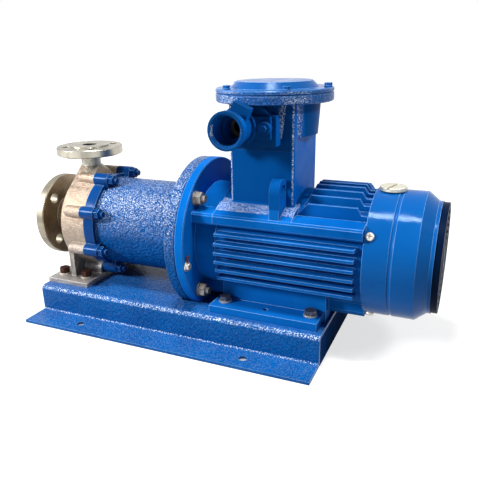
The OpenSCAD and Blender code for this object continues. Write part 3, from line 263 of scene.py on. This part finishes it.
def blend_colour(tree, factor, a, b):
    """A mix of two colours, each of them a socket or a value."""
    node = add(tree, "ShaderNodeMix", {"Factor": factor}, data_type="RGBA")
    for socket, colour in zip((node.inputs[6], node.inputs[7]), (a, b)):
        if isinstance(colour, bpy.types.NodeSocket):
            tree.links.new(colour, socket)
        else:
            socket.default_value = (*colour, 1.0)
    return node.outputs[2]


def mix_in(tree, colour, weight, amount, other):
    """A colour with another mixed in by a weight, as far as an amount."""
    return blend_colour(tree, times(tree, weight, amount), colour, other)


def bump(tree, height, strength, distance, normal=None):
    inputs = {"Height": height, "Strength": strength, "Distance": distance}
    if normal is not None:
        inputs["Normal"] = normal
    return add(tree, "ShaderNodeBump", inputs).outputs["Normal"]


def rounded(tree, radius):
    """The normal of a surface with its edges rounded."""
    return add(tree, "ShaderNodeBevel", {"Radius": radius}, samples=BEVEL_SAMPLES).outputs["Normal"]


def wobble(tree, vec, scale, amount):
    """Coordinates shifted a little by noise, so that a pattern is not regular."""
    cloud = add(tree, "ShaderNodeTexNoise", {"Vector": vec, "Scale": scale, "Detail": 2.0})
    shift = vector(tree, "SUBTRACT", cloud.outputs["Color"], (0.5, 0.5, 0.5))
    return vector(tree, "ADD", vec, vector(tree, "MULTIPLY", shift, (amount, amount, amount)))


def radius_from(tree, vec, centre, axis):
    """Distance from a line through centre along an axis."""
    keep = [1.0, 1.0, 1.0]
    keep[axis] = 0.0
    across = vector(tree, "MULTIPLY", vector(tree, "SUBTRACT", vec, centre), tuple(keep))
    return add(tree, "ShaderNodeVectorMath", {0: across}, operation="LENGTH").outputs["Value"]


def flat_normal(tree):
    return add(tree, "ShaderNodeNewGeometry").outputs["Normal"]


def upward(tree, low, high, to_low, to_high):
    """A weight that grows with how far a surface looks up."""
    return spread(tree, part_of(tree, flat_normal(tree), Z), low, high, to_low, to_high)


def fanward(tree, low, high, to_low, to_high):
    """A weight that changes with how far a surface looks along the shaft towards the fan."""
    return spread(tree, part_of(tree, flat_normal(tree), X), low, high, to_low, to_high)


def facing(tree, stops):
    """A weight read off stops of (upward part of the normal, weight)."""
    ramp = add(tree, "ShaderNodeValToRGB", {0: upward(tree, -1.0, 1.0, 0.0, 1.0)})
    marks = ramp.color_ramp.elements
    while len(marks) < len(stops):
        marks.new(0.5)
    for mark, (up, weight) in zip(marks, stops):
        mark.position = (up + 1.0) / 2
        mark.color = (weight, weight, weight, 1.0)
    return ramp.outputs[0]


def glint(tree):
    """A weight for painted glints on upright rims and corners that look to the left or right front."""
    normal = flat_normal(tree)
    lobes = [spread(tree, agreement(tree, normal, way), *GLINT_RANGE) for way in GLINT_WAYS]
    return calc(tree, "MAXIMUM", *lobes)


def within(tree, vec, axis, low, high):
    """One where a coordinate lies between two values, else nothing."""
    part = part_of(tree, vec, axis)
    return times(tree, calc(tree, "GREATER_THAN", part, low), calc(tree, "LESS_THAN", part, high))


def edge_highlight(tree, soft, strength):
    """A weight for painted highlights along the edges, where the rounded normal leaves the flat one,
    stronger on edges that look up.
    """
    edge_band = spread(tree, agreement(tree, flat_normal(tree), soft), *EDGE_HIGHLIGHT_RANGE)
    return times(tree, edge_band, upward(tree, -0.5, 0.6, 0.15 * strength, strength))


# Kinds of material

def hammered_paint(name, lit, deep, cell, depth, sparkle_amount, aim, pit_shade=0.5, glints=False):
    """Thick blue paint with a dimpled skin, painted shade in its pits, pale painted sparkle highlights where
    the aim puts them, and painted highlights on its edges.
    """
    mat, tree, shader, vec = start(name, IOR=1.20, Specular_Tint=PAINT_SHEEN)
    soft = rounded(tree, radius=0.0015)
    dimples = cells(tree, wobble(tree, vec, scale=110.0, amount=0.005), scale=1.0 / cell, smooth=0.25)
    tone = patches(tree, vec, MIDDLE, scale=14.0, detail=4.0)
    colour = blend_colour(tree, tone, deep, lit)
    # Painted shade: the pits of the dimples are darkened
    pit = spread(tree, dimples, 0.15, 0.60)
    colour = mix_in(tree, colour, pit, pit_shade, shaded(deep, 0.40))
    weight = facing(tree, aim)
    if glints:
        weight = calc(tree, "MAXIMUM", weight, glint(tree))
    # Painted sparkle highlights: pale spots, weighted by how far the surface looks up and by glints
    grain = patches(tree, vec, (0.55, 0.615), scale=3.3 / cell, detail=1.5)
    colour = mix_in(tree, colour, times(tree, grain, weight), sparkle_amount, SPARKLE_HIGHLIGHT)
    colour = blend_colour(tree, edge_highlight(tree, soft, strength=0.5), colour, PAINT_EDGE_HIGHLIGHT)
    rough = spread(tree, noise(tree, vec, scale=60.0), *WIDE, to_low=0.14, to_high=0.24)
    height = more(tree, noise(tree, vec, scale=700.0, detail=2.0), 0.35, dimples)
    finish(tree, shader, colour, rough, bump(tree, height, 1.0, depth, soft))
    return mat


def tower_painted_light(tree, vec, colour, deep, strip):
    """Painted sparkle highlights on a strip of heights, painted shade on the tower's faces that don't look
    to the fan and painted light on its fan side above the strip, painted glints on its corners, and the
    grain of the strip.
    """
    along = within(tree, vec, X, *TOWER_X)
    zone = times(tree, within(tree, vec, Z, *strip), along)
    tower = times(tree, within(tree, vec, Z, strip[1], TOWER_TOP_Z), along)
    # Painted shade on tower faces that don't look to the fan, painted light on its fan side
    front = times(tree, tower, fanward(tree, 0.3, 0.8, 0.85, 0.0))
    colour = blend_colour(tree, front, colour, shaded(deep, 0.72))
    side_light = times(tree, tower, fanward(tree, 0.6, 0.95, 0.0, 0.85))
    colour = blend_colour(tree, side_light, colour, TOWER_SIDE_LIT)
    grain = noise(tree, vec, scale=720.0, detail=1.5)
    on_top = times(tree, zone, upward(tree, 0.3, 0.7, 0.0, 0.75))
    weight = calc(tree, "MAXIMUM", on_top, times(tree, tower, glint(tree)))
    sparkle_mask = times(tree, spread(tree, grain, 0.50, 0.62), weight)
    return blend_colour(tree, sparkle_mask, colour, SPARKLE_HIGHLIGHT), times(tree, zone, grain)


def gloss_paint(name, lit, deep, rough=0.26, ior=1.10, edge_shine=0.85, strip=None):
    """Smooth sprayed blue paint with a faint orange peel, thin dirt and painted highlights on its edges;
    with a strip, also the tower's painted light and shade.
    """
    mat, tree, shader, vec = start(name, IOR=ior, Specular_Tint=PAINT_SHEEN)
    soft = rounded(tree, radius=0.0013)
    tone = patches(tree, vec, MIDDLE, scale=9.0, detail=4.0)
    colour = blend_colour(tree, tone, deep, lit)
    dirt = patches(tree, vec, (0.58, 0.80), scale=38.0, detail=5.0, rough=0.6)
    colour = mix_in(tree, colour, dirt, 0.25, shaded(deep, 0.5))
    colour = blend_colour(tree, edge_highlight(tree, soft, edge_shine), colour, PAINT_EDGE_HIGHLIGHT)
    fine = noise(tree, vec, scale=380.0, detail=2.0)
    peel = more(tree, fine, 0.4, noise(tree, vec, scale=60.0, detail=2.0))
    if strip:
        colour, grain = tower_painted_light(tree, vec, colour, deep, strip)
        peel = more(tree, grain, 4.0, peel)
    dull = spread(tree, noise(tree, vec, scale=45.0), *WIDE, to_low=rough - 0.06, to_high=rough + 0.08)
    finish(tree, shader, colour, dull, bump(tree, peel, 0.10, 0.002, soft))
    return mat


def cast_steel(name, light, stain, rough, metal=0.45, low=None):
    """Sand-cast stainless with a grainy skin, stains and painted highlights on its edges, and another colour
    low down if one is given.
    """
    mat, tree, shader, vec = start(name, Metallic=metal)
    soft = rounded(tree, radius=0.002)
    blot = patches(tree, vec, (0.42, 0.72), scale=22.0, detail=5.0, rough=0.6)
    colour = mix_in(tree, light, blot, 0.8, stain)
    if low:
        depth = spread(tree, part_of(tree, vec, Z), GREY_FROM_Z, GREY_AT_Z, 0.0, 0.8)
        colour = blend_colour(tree, depth, colour, low)
    speck = patches(tree, vec, (0.4, 0.75), scale=420.0)
    colour = mix_in(tree, colour, speck, 0.5, shaded(light, 0.45))
    skin = patches(tree, vec, (0.48, 0.66), scale=210.0, detail=2.0)
    colour = mix_in(tree, colour, skin, 0.55, shaded(light, 0.50))
    colour = blend_colour(tree, edge_highlight(tree, soft, strength=0.45), colour, CAST_EDGE_HIGHLIGHT)
    dull = spread(tree, noise(tree, vec, scale=150.0), *WIDE, to_low=rough - 0.1, to_high=rough + 0.1)
    grain = more(tree, noise(tree, vec, scale=520.0, detail=4.0), 0.6, noise(tree, vec, scale=90.0))
    finish(tree, shader, colour, dull, bump(tree, grain, 0.9, 0.0020, soft))
    return mat


def turned_steel(name, colour, centre, axis, rough=0.26, pitch=0.0011):
    """Machined metal with the fine rings of a lathe."""
    mat, tree, shader, vec = start(name, Metallic=1.0)
    radius = radius_from(tree, vec, centre, axis)
    rings = calc(tree, "SINE", times(tree, radius, 2 * math.pi / pitch))
    along_radius = add(tree, "ShaderNodeCombineXYZ", {0: radius}).outputs[0]
    broad = noise(tree, along_radius, scale=260.0)
    mixed = blend_colour(tree, spread(tree, broad, *WIDE), shaded(colour, 0.72), colour)
    smear = patches(tree, vec, (0.5, 0.8), scale=30.0, detail=4.0)
    mixed = mix_in(tree, mixed, smear, 0.35, OLD_OIL)
    stretch = [1.0, 1.0, 1.0]
    stretch[axis] = 0.02
    streak = patches(tree, vector(tree, "MULTIPLY", vec, tuple(stretch)), (0.46, 0.62), scale=55.0)
    mixed = mix_in(tree, mixed, streak, 0.60, shaded(colour, 0.42))
    dull = spread(tree, broad, *WIDE, to_low=rough - 0.06, to_high=rough + 0.12)
    finish(tree, shader, mixed, dull, bump(tree, rings, 0.12, 0.0004, rounded(tree, radius=0.001)))
    return mat


def plated_steel(name, colour, stain, share, rough=0.3):
    """Plated fastener with stains and fine scratches."""
    mat, tree, shader, vec = start(name, Metallic=0.9)
    band = (0.5 - share / 2, 0.85 - share / 2)
    blot = patches(tree, vec, band, scale=130.0, detail=5.0, rough=0.65)
    mixed = blend_colour(tree, blot, colour, stain)
    dull = spread(tree, blot, 0.0, 1.0, rough, rough + 0.35)
    rub = more(tree, noise(tree, vec, scale=1500.0, detail=2.0), 0.3, blot)
    finish(tree, shader, mixed, dull, bump(tree, rub, 0.25, 0.0005, rounded(tree, radius=0.0008)))
    return mat


def moulded(name, colour, rough, grain=600.0, metal=0.0):
    """Rubber, plastic, sintered or stacked material with a fine grain."""
    mat, tree, shader, vec = start(name, Metallic=metal)
    tone = noise(tree, vec, scale=80.0, detail=4.0)
    mixed = blend_colour(tree, tone, shaded(colour, 0.7), shaded(colour, 1.25))
    dull = spread(tree, tone, *WIDE, to_low=rough - 0.08, to_high=rough + 0.08)
    fine = noise(tree, vec, grain, detail=2.0)
    finish(tree, shader, mixed, dull, bump(tree, fine, 0.2, 0.0006))
    return mat


# Blue paints

hammered = hammered_paint(
    "hammered_blue", lit=(0.003, 0.100, 0.370), deep=(0.001, 0.072, 0.290),
    cell=0.0048, depth=0.0018, sparkle_amount=0.85, aim=BARREL_AIM)
hammered_rim = hammered_paint(
    "hammered_blue_rim", lit=BLUE_LIT, deep=BLUE_DEEP,
    cell=0.0042, depth=0.0012, sparkle_amount=0.85, aim=RIM_AIM, glints=True)
base_blue = hammered_paint(
    "base_blue", lit=(0.002, 0.103, 0.365), deep=(0.001, 0.077, 0.295),
    cell=0.0048, depth=0.0008, sparkle_amount=0.80, aim=BEND_AIM, pit_shade=0.25)
# A darker copy of the base blue for the end plates: painted shade
end_shaded_blue = gloss_paint(
    "end_plate_shaded_blue", lit=(0.001, 0.036, 0.150), deep=(0.001, 0.024, 0.105), rough=0.62, ior=1.03, edge_shine=0.4)
gloss = gloss_paint("gloss_blue", lit=BLUE_LIT, deep=BLUE_DEEP)
frame_blue = gloss_paint(
    "frame_blue", lit=BLUE_LIT, deep=BLUE_DEEP, rough=0.34, ior=1.07, edge_shine=1.5, strip=SADDLE_Z)
# A lighter copy of the motor blue for the drive-end shield: painted light
shield_lit_blue = gloss_paint(
    "shield_lit_blue", lit=(0.003, 0.142, 0.515), deep=(0.001, 0.102, 0.405), rough=0.36, ior=1.05)
lid_blue = gloss_paint(
    "lid_blue", lit=(0.003, 0.090, 0.320), deep=(0.001, 0.066, 0.255), rough=0.20, ior=1.22)
# A darker copy of the motor blue for the terminal box: painted shade
box_shaded_blue = gloss_paint(
    "box_shaded_blue", lit=(0.002, 0.082, 0.300), deep=(0.001, 0.062, 0.240), rough=0.40, strip=BOX_STRIP_Z)
band_blue = gloss_paint(
    "band_blue", lit=(0.001, 0.052, 0.225), deep=(0.001, 0.038, 0.170), rough=0.22, ior=1.20, edge_shine=1.0)
# A darker copy of the motor blue for the fan cover: painted shade
cover_shaded_blue = gloss_paint(
    "fan_cover_blue", lit=(0.002, 0.097, 0.360), deep=(0.001, 0.080, 0.305), rough=0.12, ior=1.18, edge_shine=0.9)
# Near-black blue for the end grille of the fan cover: a dark grille, darkened further as painted shade
grille_blue = gloss_paint(
    "grille_blue", lit=(0.001, 0.008, 0.034), deep=(0.001, 0.005, 0.020), rough=0.40, edge_shine=0.0)

# Cast and turned metal

casting = cast_steel(
    "cast_stainless", light=(0.44, 0.345, 0.265), stain=(0.37, 0.235, 0.145), rough=0.45,
    low=(0.33, 0.30, 0.27))
# A dark copy of the cast stainless for the suction neck: painted shade
neck_shade_steel = cast_steel(
    "neck_shaded_stainless", light=(0.24, 0.19, 0.13), stain=(0.14, 0.10, 0.06), rough=0.34, metal=0.7)
boss_steel = cast_steel(
    "boss_stainless", light=(0.26, 0.26, 0.27), stain=(0.18, 0.16, 0.14), rough=0.38, metal=0.6)
foot_steel = cast_steel(
    "foot_stainless", light=(0.40, 0.385, 0.37), stain=(0.27, 0.18, 0.13), rough=0.40, metal=0.5)
# A lighter copy of the cast stainless for the discharge neck: painted light
discharge_neck = cast_steel(
    "discharge_neck_lit_stainless", light=(0.60, 0.58, 0.50), stain=(0.30, 0.27, 0.20), rough=0.34, metal=0.5)
# Near-black cast stainless inside the bores: painted shade
bore_shade_steel = cast_steel(
    "bore_shaded_stainless", light=(0.05, 0.045, 0.04), stain=(0.03, 0.025, 0.02), rough=0.5, metal=0.6)
SHAFT_LINE = (0.0, 0.0, AXIS_Z)
suction_steel = turned_steel("turned_suction", (0.36, 0.33, 0.26), SHAFT_LINE, X, rough=0.46)
suction_back = turned_steel(
    "turned_suction_back", (0.42, 0.34, 0.24), SHAFT_LINE, X, rough=0.34, pitch=0.004)
discharge_steel = turned_steel("turned_discharge", (0.57, 0.54, 0.45), (DISCHARGE_X, 0.0, 0.0), Z)
rotor_steel = turned_steel("turned_rotor", (0.56, 0.56, 0.55), SHAFT_LINE, X)

# Fasteners

zinc = plated_steel("zinc_plate", (0.72, 0.71, 0.67), stain=(0.40, 0.36, 0.29), share=0.3)
nut_steel = plated_steel("nut_plate", (0.40, 0.39, 0.37), stain=(0.16, 0.14, 0.12), share=0.4, rough=0.28)
dark_bolt = plated_steel("dark_plate", (0.12, 0.13, 0.16), stain=(0.05, 0.06, 0.10), share=0.5, rough=0.35)
rusty_bolt = plated_steel(
    "rusty_plate", (0.060, 0.042, 0.038), stain=(0.055, 0.018, 0.012), share=0.5, rough=0.4)
brass = plated_steel("terminal_brass", (0.78, 0.62, 0.34), stain=(0.45, 0.20, 0.10), share=0.3)
plug_plate = plated_steel("plug_plate", (0.74, 0.72, 0.62), stain=(0.50, 0.47, 0.38), share=0.3, rough=0.35)
tag_copper = plated_steel("tag_copper", (0.30, 0.11, 0.08), stain=(0.20, 0.06, 0.045), share=0.4, rough=0.4)

# Inner parts

rubber = moulded("rubber", (0.02, 0.02, 0.02), rough=0.6)
carbide = moulded("carbide", (0.03, 0.03, 0.035), rough=0.25)
magnet = moulded("magnet", (0.20, 0.20, 0.21), rough=0.45, metal=0.6)
sheet_stack = moulded("lamination", (0.24, 0.24, 0.25), rough=0.5, grain=1500.0, metal=0.7)
copper = moulded("winding", (0.50, 0.17, 0.05), rough=0.35, grain=1200.0, metal=0.6)
fan_black = moulded("fan_plastic", (0.02, 0.02, 0.022), rough=0.45)
board = moulded("board_plastic", (0.16, 0.05, 0.02), rough=0.4)

# Main material of each node

LOOKS = {
    base_blue: ["base_plate"],
    end_shaded_blue: ["base_end_plates"],
    hammered: ["bracket"],
    gloss: ["rear_end_shield", "cover_bolts"],
    shield_lit_blue: ["drive_end_shield"],
    lid_blue: ["terminal_cover"],
    band_blue: ["casing_nuts", "casing_studs"],
    frame_blue: ["motor_frame"],
    box_shaded_blue: ["terminal_box", "cable_gland", "gland_bolts"],
    cover_shaded_blue: ["fan_cover"],
    casting: ["pump_casing", "bearing_housing"],
    zinc: [
        "pump_foot_nuts", "motor_foot_nuts", "fan_cover_plug", "fan_cover_screws", "hub_washer", "hub_screw",
        "fan_circlip", "earth_screw"],
    nut_steel: ["flange_bolts", "flange_nuts"],
    rusty_bolt: ["pump_foot_bolts"],
    dark_bolt: ["motor_foot_bolts", "box_screws", "shield_screws", "rear_shield_bolts"],
    brass: ["terminal_studs"],
    rotor_steel: [
        "isolation_can", "impeller", "impeller_nut", "pump_shaft", "inner_magnet_sheath", "rotor_lock_nut",
        "motor_shaft", "inner_magnet_carrier", "outer_magnet_carrier", "shaft_key", "drive_bearing_cap",
        "drive_end_bearing", "rear_bearing"],
    rubber: ["casing_gasket", "can_gasket", "shaft_seal", "gland_seal"],
    carbide: ["front_bearing_bush", "rear_bearing_bush", "shaft_sleeves", "thrust_collars"],
    magnet: ["inner_magnets", "outer_magnets"],
    sheet_stack: ["rotor_core", "stator_core"],
    copper: ["stator_winding"],
    fan_black: ["cooling_fan"],
    board: ["terminal_board"],
}
for look, names in LOOKS.items():
    for node_name in names:
        slots = nodes[node_name].data.materials
        slots.clear()
        slots.append(look)


# Second materials on some faces of a node

def paint_faces(node, mat, test):
    """Gives a further material to the faces of a node whose centre passes the test."""
    mesh = nodes[node].data
    mesh.materials.append(mat)
    slot = len(mesh.materials) - 1
    for face in mesh.polygons:
        if test(face.center):
            face.material_index = slot


def from_shaft(spot):
    return math.hypot(spot.y, spot.z - AXIS_Z)


def from_discharge(spot):
    return math.hypot(spot.x - DISCHARGE_X, spot.y)


def on_suction_neck(spot):
    return SUCTION_END_X <= spot.x < SUCTION_NECK_END_X and spot.z > PUMP_FOOT_TOP


def on_discharge_neck(spot):
    return from_discharge(spot) < DISCHARGE_NECK_R and spot.z > DISCHARGE_NECK_Z


def in_discharge(spot):
    return from_discharge(spot) < DISCHARGE_BORE_R and spot.z > DISCHARGE_BORE_Z


def in_suction(spot):
    return from_shaft(spot) < SUCTION_BORE_R and spot.x > SUCTION_FACE_X


paint_faces("pump_casing", neck_shade_steel, on_suction_neck)
paint_faces("pump_casing", suction_steel, lambda spot: spot.x < SUCTION_END_X)
paint_faces("pump_casing", suction_back, lambda spot: abs(spot.x - SUCTION_BACK_X) < SUCTION_BACK_NEAR)
paint_faces("pump_casing", discharge_neck, on_discharge_neck)
paint_faces("pump_casing", discharge_steel, lambda spot: spot.z > DISCHARGE_END_Z)
paint_faces("pump_casing", boss_steel, lambda spot: PUMP_FOOT_TOP < spot.z < LOW_BOSS_TOP)
paint_faces("pump_casing", foot_steel, lambda spot: spot.z < PUMP_FOOT_TOP)
paint_faces("pump_casing", bore_shade_steel, in_discharge)
paint_faces("pump_casing", bore_shade_steel, in_suction)
paint_faces("bracket", band_blue, lambda spot: spot.x < BAND_END_X)
paint_faces("pump_foot_bolts", zinc, lambda spot: spot.z < PUMP_WASHER_TOP)
paint_faces("motor_foot_bolts", zinc, lambda spot: spot.z < MOTOR_WASHER_TOP)
paint_faces("terminal_box", hammered_rim, lambda spot: spot.z > BOX_FLANGE_Z)
paint_faces("terminal_cover", hammered_rim, lambda spot: spot.z < COVER_RIM_Z)
paint_faces("flange_bolts", hammered, lambda spot: spot.x < FLANGE_FRONT_X)
paint_faces("fan_cover", grille_blue, lambda spot: spot.x > FAN_LIP_X)


# Shapes for the small pieces

def piece(name, verts, faces, mat, slot):
    """A new mesh piece that rides on the pump's fixed body."""
    mesh = bpy.data.meshes.new(name)
    mesh.from_pydata(verts, [], faces)
    mesh.validate()
    mesh.materials.append(mat)
    obj = bpy.data.objects.new(name, mesh)
    scene.collection.objects.link(obj)
    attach(obj, "pump_unit")
    return obj


def merge(*parts):
    """Joins lists of vertices and faces into one pair."""
    verts, faces = [], []
    for part_verts, part_faces in parts:
        faces += [tuple(i + len(verts) for i in face) for face in part_faces]
        verts += part_verts
    return verts, faces


def lathe(profile, centre, steps):
    """A closed turned solid about an upright line; profile is (radius, height) from the bottom up."""
    verts, faces = [], []
    n = len(profile)
    for k in range(steps):
        angle = 2 * math.pi * k / steps
        c, s = math.cos(angle), math.sin(angle)
        verts += [(centre[0] + r * c, centre[1] + r * s, z) for r, z in profile]
    for k in range(steps):
        here, after = k * n, (k + 1) % steps * n
        faces += [(here + i, after + i, after + i + 1, here + i + 1) for i in range(n - 1)]
    faces.append(tuple(k * n for k in reversed(range(steps))))
    faces.append(tuple(k * n + n - 1 for k in range(steps)))
    return verts, faces


def bands(rings, closed):
    """Vertices of rings of the same number of points, and the faces between each ring and the next."""
    n = len(rings[0])
    verts = [v for ring in rings for v in ring]
    faces = []
    for j in range(len(rings) if closed else len(rings) - 1):
        low, up = j * n, (j + 1) % len(rings) * n
        faces += [(low + i, low + (i + 1) % n, up + (i + 1) % n, up + i) for i in range(n)]
    return verts, faces


def loft(rings):
    """A closed solid through outlines of the same number of points, first at the bottom."""
    n = len(rings[0])
    verts, faces = bands(rings, closed=False)
    faces += [tuple(reversed(range(n))), tuple(range(len(verts) - n, len(verts)))]
    return verts, faces


def arc(radius, first, last, steps):
    """Points of an arc about the origin from one angle to another."""
    angles = [first + (last - first) * k / steps for k in range(steps + 1)]
    return [(radius * math.cos(a), radius * math.sin(a)) for a in angles]


def turned(points, turn, centre, z):
    """Flat points turned about the origin, then moved to a centre and a height."""
    c, s = math.cos(turn), math.sin(turn)
    return [(centre[0] + x * c - y * s, centre[1] + x * s + y * c, z) for x, y in points]


def half_disc(radius, gap, turn, centre, z):
    """Outline of one half of a disc that a slot divides."""
    first = math.asin(gap / 2 / radius)
    return turned(arc(radius, first, math.pi - first, HALF_STEPS), turn, centre, z)


def quarter_disc(radius, gap, turn, z):
    """Outline of one quarter of a disc that a cross divides, about the origin."""
    first = math.asin(gap / 2 / radius)
    points = [(gap / 2, gap / 2)] + arc(radius, first, math.pi / 2 - first, QUARTER_STEPS)
    return turned(points, turn, (0.0, 0.0), z)


# Small pieces

def make_plug():
    """Slotted screw plug in the top of the fan cover."""
    low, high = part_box("fan_cover_plug")
    mid = ((low[X] + high[X]) / 2, (low[Y] + high[Y]) / 2)
    radius = (high[X] - low[X]) / 2
    bottom, top = low[Z], high[Z]
    seat = bottom + PLUG_STEM
    slot_floor = top - SLOT_DEPTH
    profile = [(PLUG_STEM_R, bottom), (PLUG_STEM_R, seat), (radius - PLUG_EDGE, seat)]
    profile += [(radius, seat + PLUG_EDGE), (radius, slot_floor)]
    solids = [lathe(profile, mid, PLUG_STEPS)]
    outline = ((radius, slot_floor - PLUG_OVERLAP), (radius, top - PLUG_EDGE), (radius - PLUG_EDGE, top))
    for turn in (SLOT_TURN, SLOT_TURN + math.pi):
        solids.append(loft([half_disc(r, SLOT_WIDTH, turn, mid, z) for r, z in outline]))
    obj = piece("plug_detail", *merge(*solids), plug_plate, "fastener_zinc")
    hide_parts("fan_cover_plug")


def make_cover_screws():
    """Pan-head screws with a cross recess, square to the fan cover."""
    top, recess_floor = SCREW_HEIGHT, SCREW_HEIGHT - RECESS_DEPTH
    profile = [(SHANK_R, -SCREW_LENGTH), (SHANK_R, 0.0)]
    profile += [(SCREW_R * r, SCREW_HEIGHT * z) for r, z in SCREW_DOME]
    profile += [(RECESS_R, top), (RECESS_R, recess_floor)]
    solids = [lathe(profile, (0.0, 0.0), SCREW_STEPS)]
    for k in range(4):
        turn = math.pi / 2 * k
        solids.append(loft([quarter_disc(RECESS_R, RECESS_WIDTH, turn, z) for z in (recess_floor, top)]))
    verts, faces = merge(*solids)
    on_shaft = Matrix.Translation((SCREW_X, 0.0, AXIS_Z))
    on_cover = Matrix.Translation((0.0, 0.0, FAN_COVER_R))
    screws = []
    for k in range(SCREW_COUNT):
        tilt = math.pi / 2 - FIRST_SCREW - 2 * math.pi * k / SCREW_COUNT
        place = on_shaft @ Matrix.Rotation(tilt, 4, "X") @ on_cover
        screws.append(([tuple(place @ Vector(v)) for v in verts], faces))
    obj = piece("cover_screw_detail", *merge(*screws), zinc, "fastener_zinc")
    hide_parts("fan_cover_screws")


def make_earth_tag():
    """Ring and tongue under the earth screw of the motor flange."""
    low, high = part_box("earth_screw")
    y, z = (low[Y] + high[Y]) / 2, (low[Z] + high[Z]) / 2
    front, back = FLANGE_BACK_X, FLANGE_BACK_X + TAG_THICK
    rings = []
    for x, r in ((front, TAG_R), (back, TAG_R), (back, TAG_HOLE_R), (front, TAG_HOLE_R)):
        angles = [2 * math.pi * k / TAG_STEPS for k in range(TAG_STEPS)]
        rings.append([(x, y + r * math.cos(a), z + r * math.sin(a)) for a in angles])
    tongue = []
    for rise, lean, half in TAG_TONGUE:
        near, far, row = front + lean, back + lean, z + rise
        corners = ((near, y - half), (far, y - half), (far, y + half), (near, y + half))
        tongue.append([(*corner, row) for corner in corners])
    piece("earth_tag_ring", *bands(rings, closed=True), zinc, "fastener_zinc")
    piece("earth_tag_tongue", *loft(tongue), tag_copper, "earth_brass")


# Floor, light and camera

def make_lamp(name, place, target, size, power):
    data = bpy.data.lights.new(name, "AREA")
    data.shape = "DISK"
    data.size = size
    data.energy = power
    lamp = bpy.data.objects.new(name, data)
    lamp.location = place
    lamp.rotation_euler = (Vector(target) - Vector(place)).to_track_quat("-Z", "Y").to_euler()
    scene.collection.objects.link(lamp)


def seen_white(tree):
    """One for the rays that should see a white surrounding, else nothing."""
    path = add(tree, "ShaderNodeLightPath")
    total = calc(tree, "ADD", path.outputs["Is Camera Ray"], path.outputs["Is Glossy Ray"])
    total = calc(tree, "ADD", total, path.outputs["Is Transmission Ray"])
    return calc(tree, "MINIMUM", total, 1.0)


def make_floor():
    """A pale floor that looks white further out and keeps the shadow, with its glow left out under the base
    as painted shade.
    """
    mesh = bpy.data.meshes.new("floor")
    h = FLOOR_HALF
    mesh.from_pydata([(-h, -h, 0), (h, -h, 0), (h, h, 0), (-h, h, 0)], [], [(0, 1, 2, 3)])
    floor = bpy.data.objects.new("floor", mesh)
    scene.collection.objects.link(floor)
    mat, tree, shader, vec = start("floor_white", Roughness=0.9, Specular_IOR_Level=0.1)
    shader.inputs["Base Color"].default_value = FLOOR_GREY
    shader.inputs["Emission Color"].default_value = WHITE
    # Painted shade: no glow under the base, so the floor there and in the base's holes stays dark
    off_x = calc(tree, "ABSOLUTE", calc(tree, "SUBTRACT", part_of(tree, vec, X), BASE_MID_X))
    off_y = calc(tree, "ABSOLUTE", part_of(tree, vec, Y))
    past_x = calc(tree, "GREATER_THAN", off_x, BASE_HALF[0])
    past_y = calc(tree, "GREATER_THAN", off_y, BASE_HALF[1])
    beside = calc(tree, "MAXIMUM", past_x, past_y)
    reach = radius_from(tree, vec, (0.0, 0.0, 0.0), Z)
    glow = times(tree, spread(tree, reach, *GLOW_REACH, FLOOR_GLOW, 1.0), beside)
    tree.links.new(times(tree, seen_white(tree), glow), shader.inputs["Emission Strength"])
    mesh.materials.append(mat)


def make_world():
    """A white surrounding that lights the pump only a little."""
    world = bpy.data.worlds.new("studio")
    scene.world = world
    world.use_nodes = True
    tree = world.node_tree
    back = tree.nodes["Background"]
    back.inputs["Color"].default_value = WHITE
    tree.links.new(spread(tree, seen_white(tree), 0.0, 1.0, WORLD_FILL, 1.0), back.inputs["Strength"])


def make_camera():
    """The camera at the photo's place, with its roll."""
    azimuth, elevation, roll = CAMERA_AZIMUTH, CAMERA_ELEVATION, CAMERA_ROLL
    flat = math.cos(elevation)
    back = Vector((math.sin(azimuth) * flat, -math.cos(azimuth) * flat, math.sin(elevation)))
    level = Vector((math.cos(azimuth), math.sin(azimuth), 0.0))
    up = back.cross(level)
    right = level * math.cos(roll) + up * math.sin(roll)
    up = up * math.cos(roll) - level * math.sin(roll)
    data = bpy.data.cameras.new("camera")
    data.sensor_fit = "VERTICAL"
    data.sensor_height = SENSOR
    data.lens = FOCAL_PIXELS / IMAGE_HEIGHT * SENSOR
    camera = bpy.data.objects.new("camera", data)
    pose = Matrix((right, up, back)).transposed().to_4x4()
    pose.translation = CAMERA_PLACE
    camera.matrix_world = pose
    scene.collection.objects.link(camera)
    scene.camera = camera


make_plug()
make_cover_screws()
make_earth_tag()
make_floor()
make_world()
make_camera()
for lamp_values in LAMPS:
    make_lamp(*lamp_values)
scene.view_settings.view_transform = "Standard"
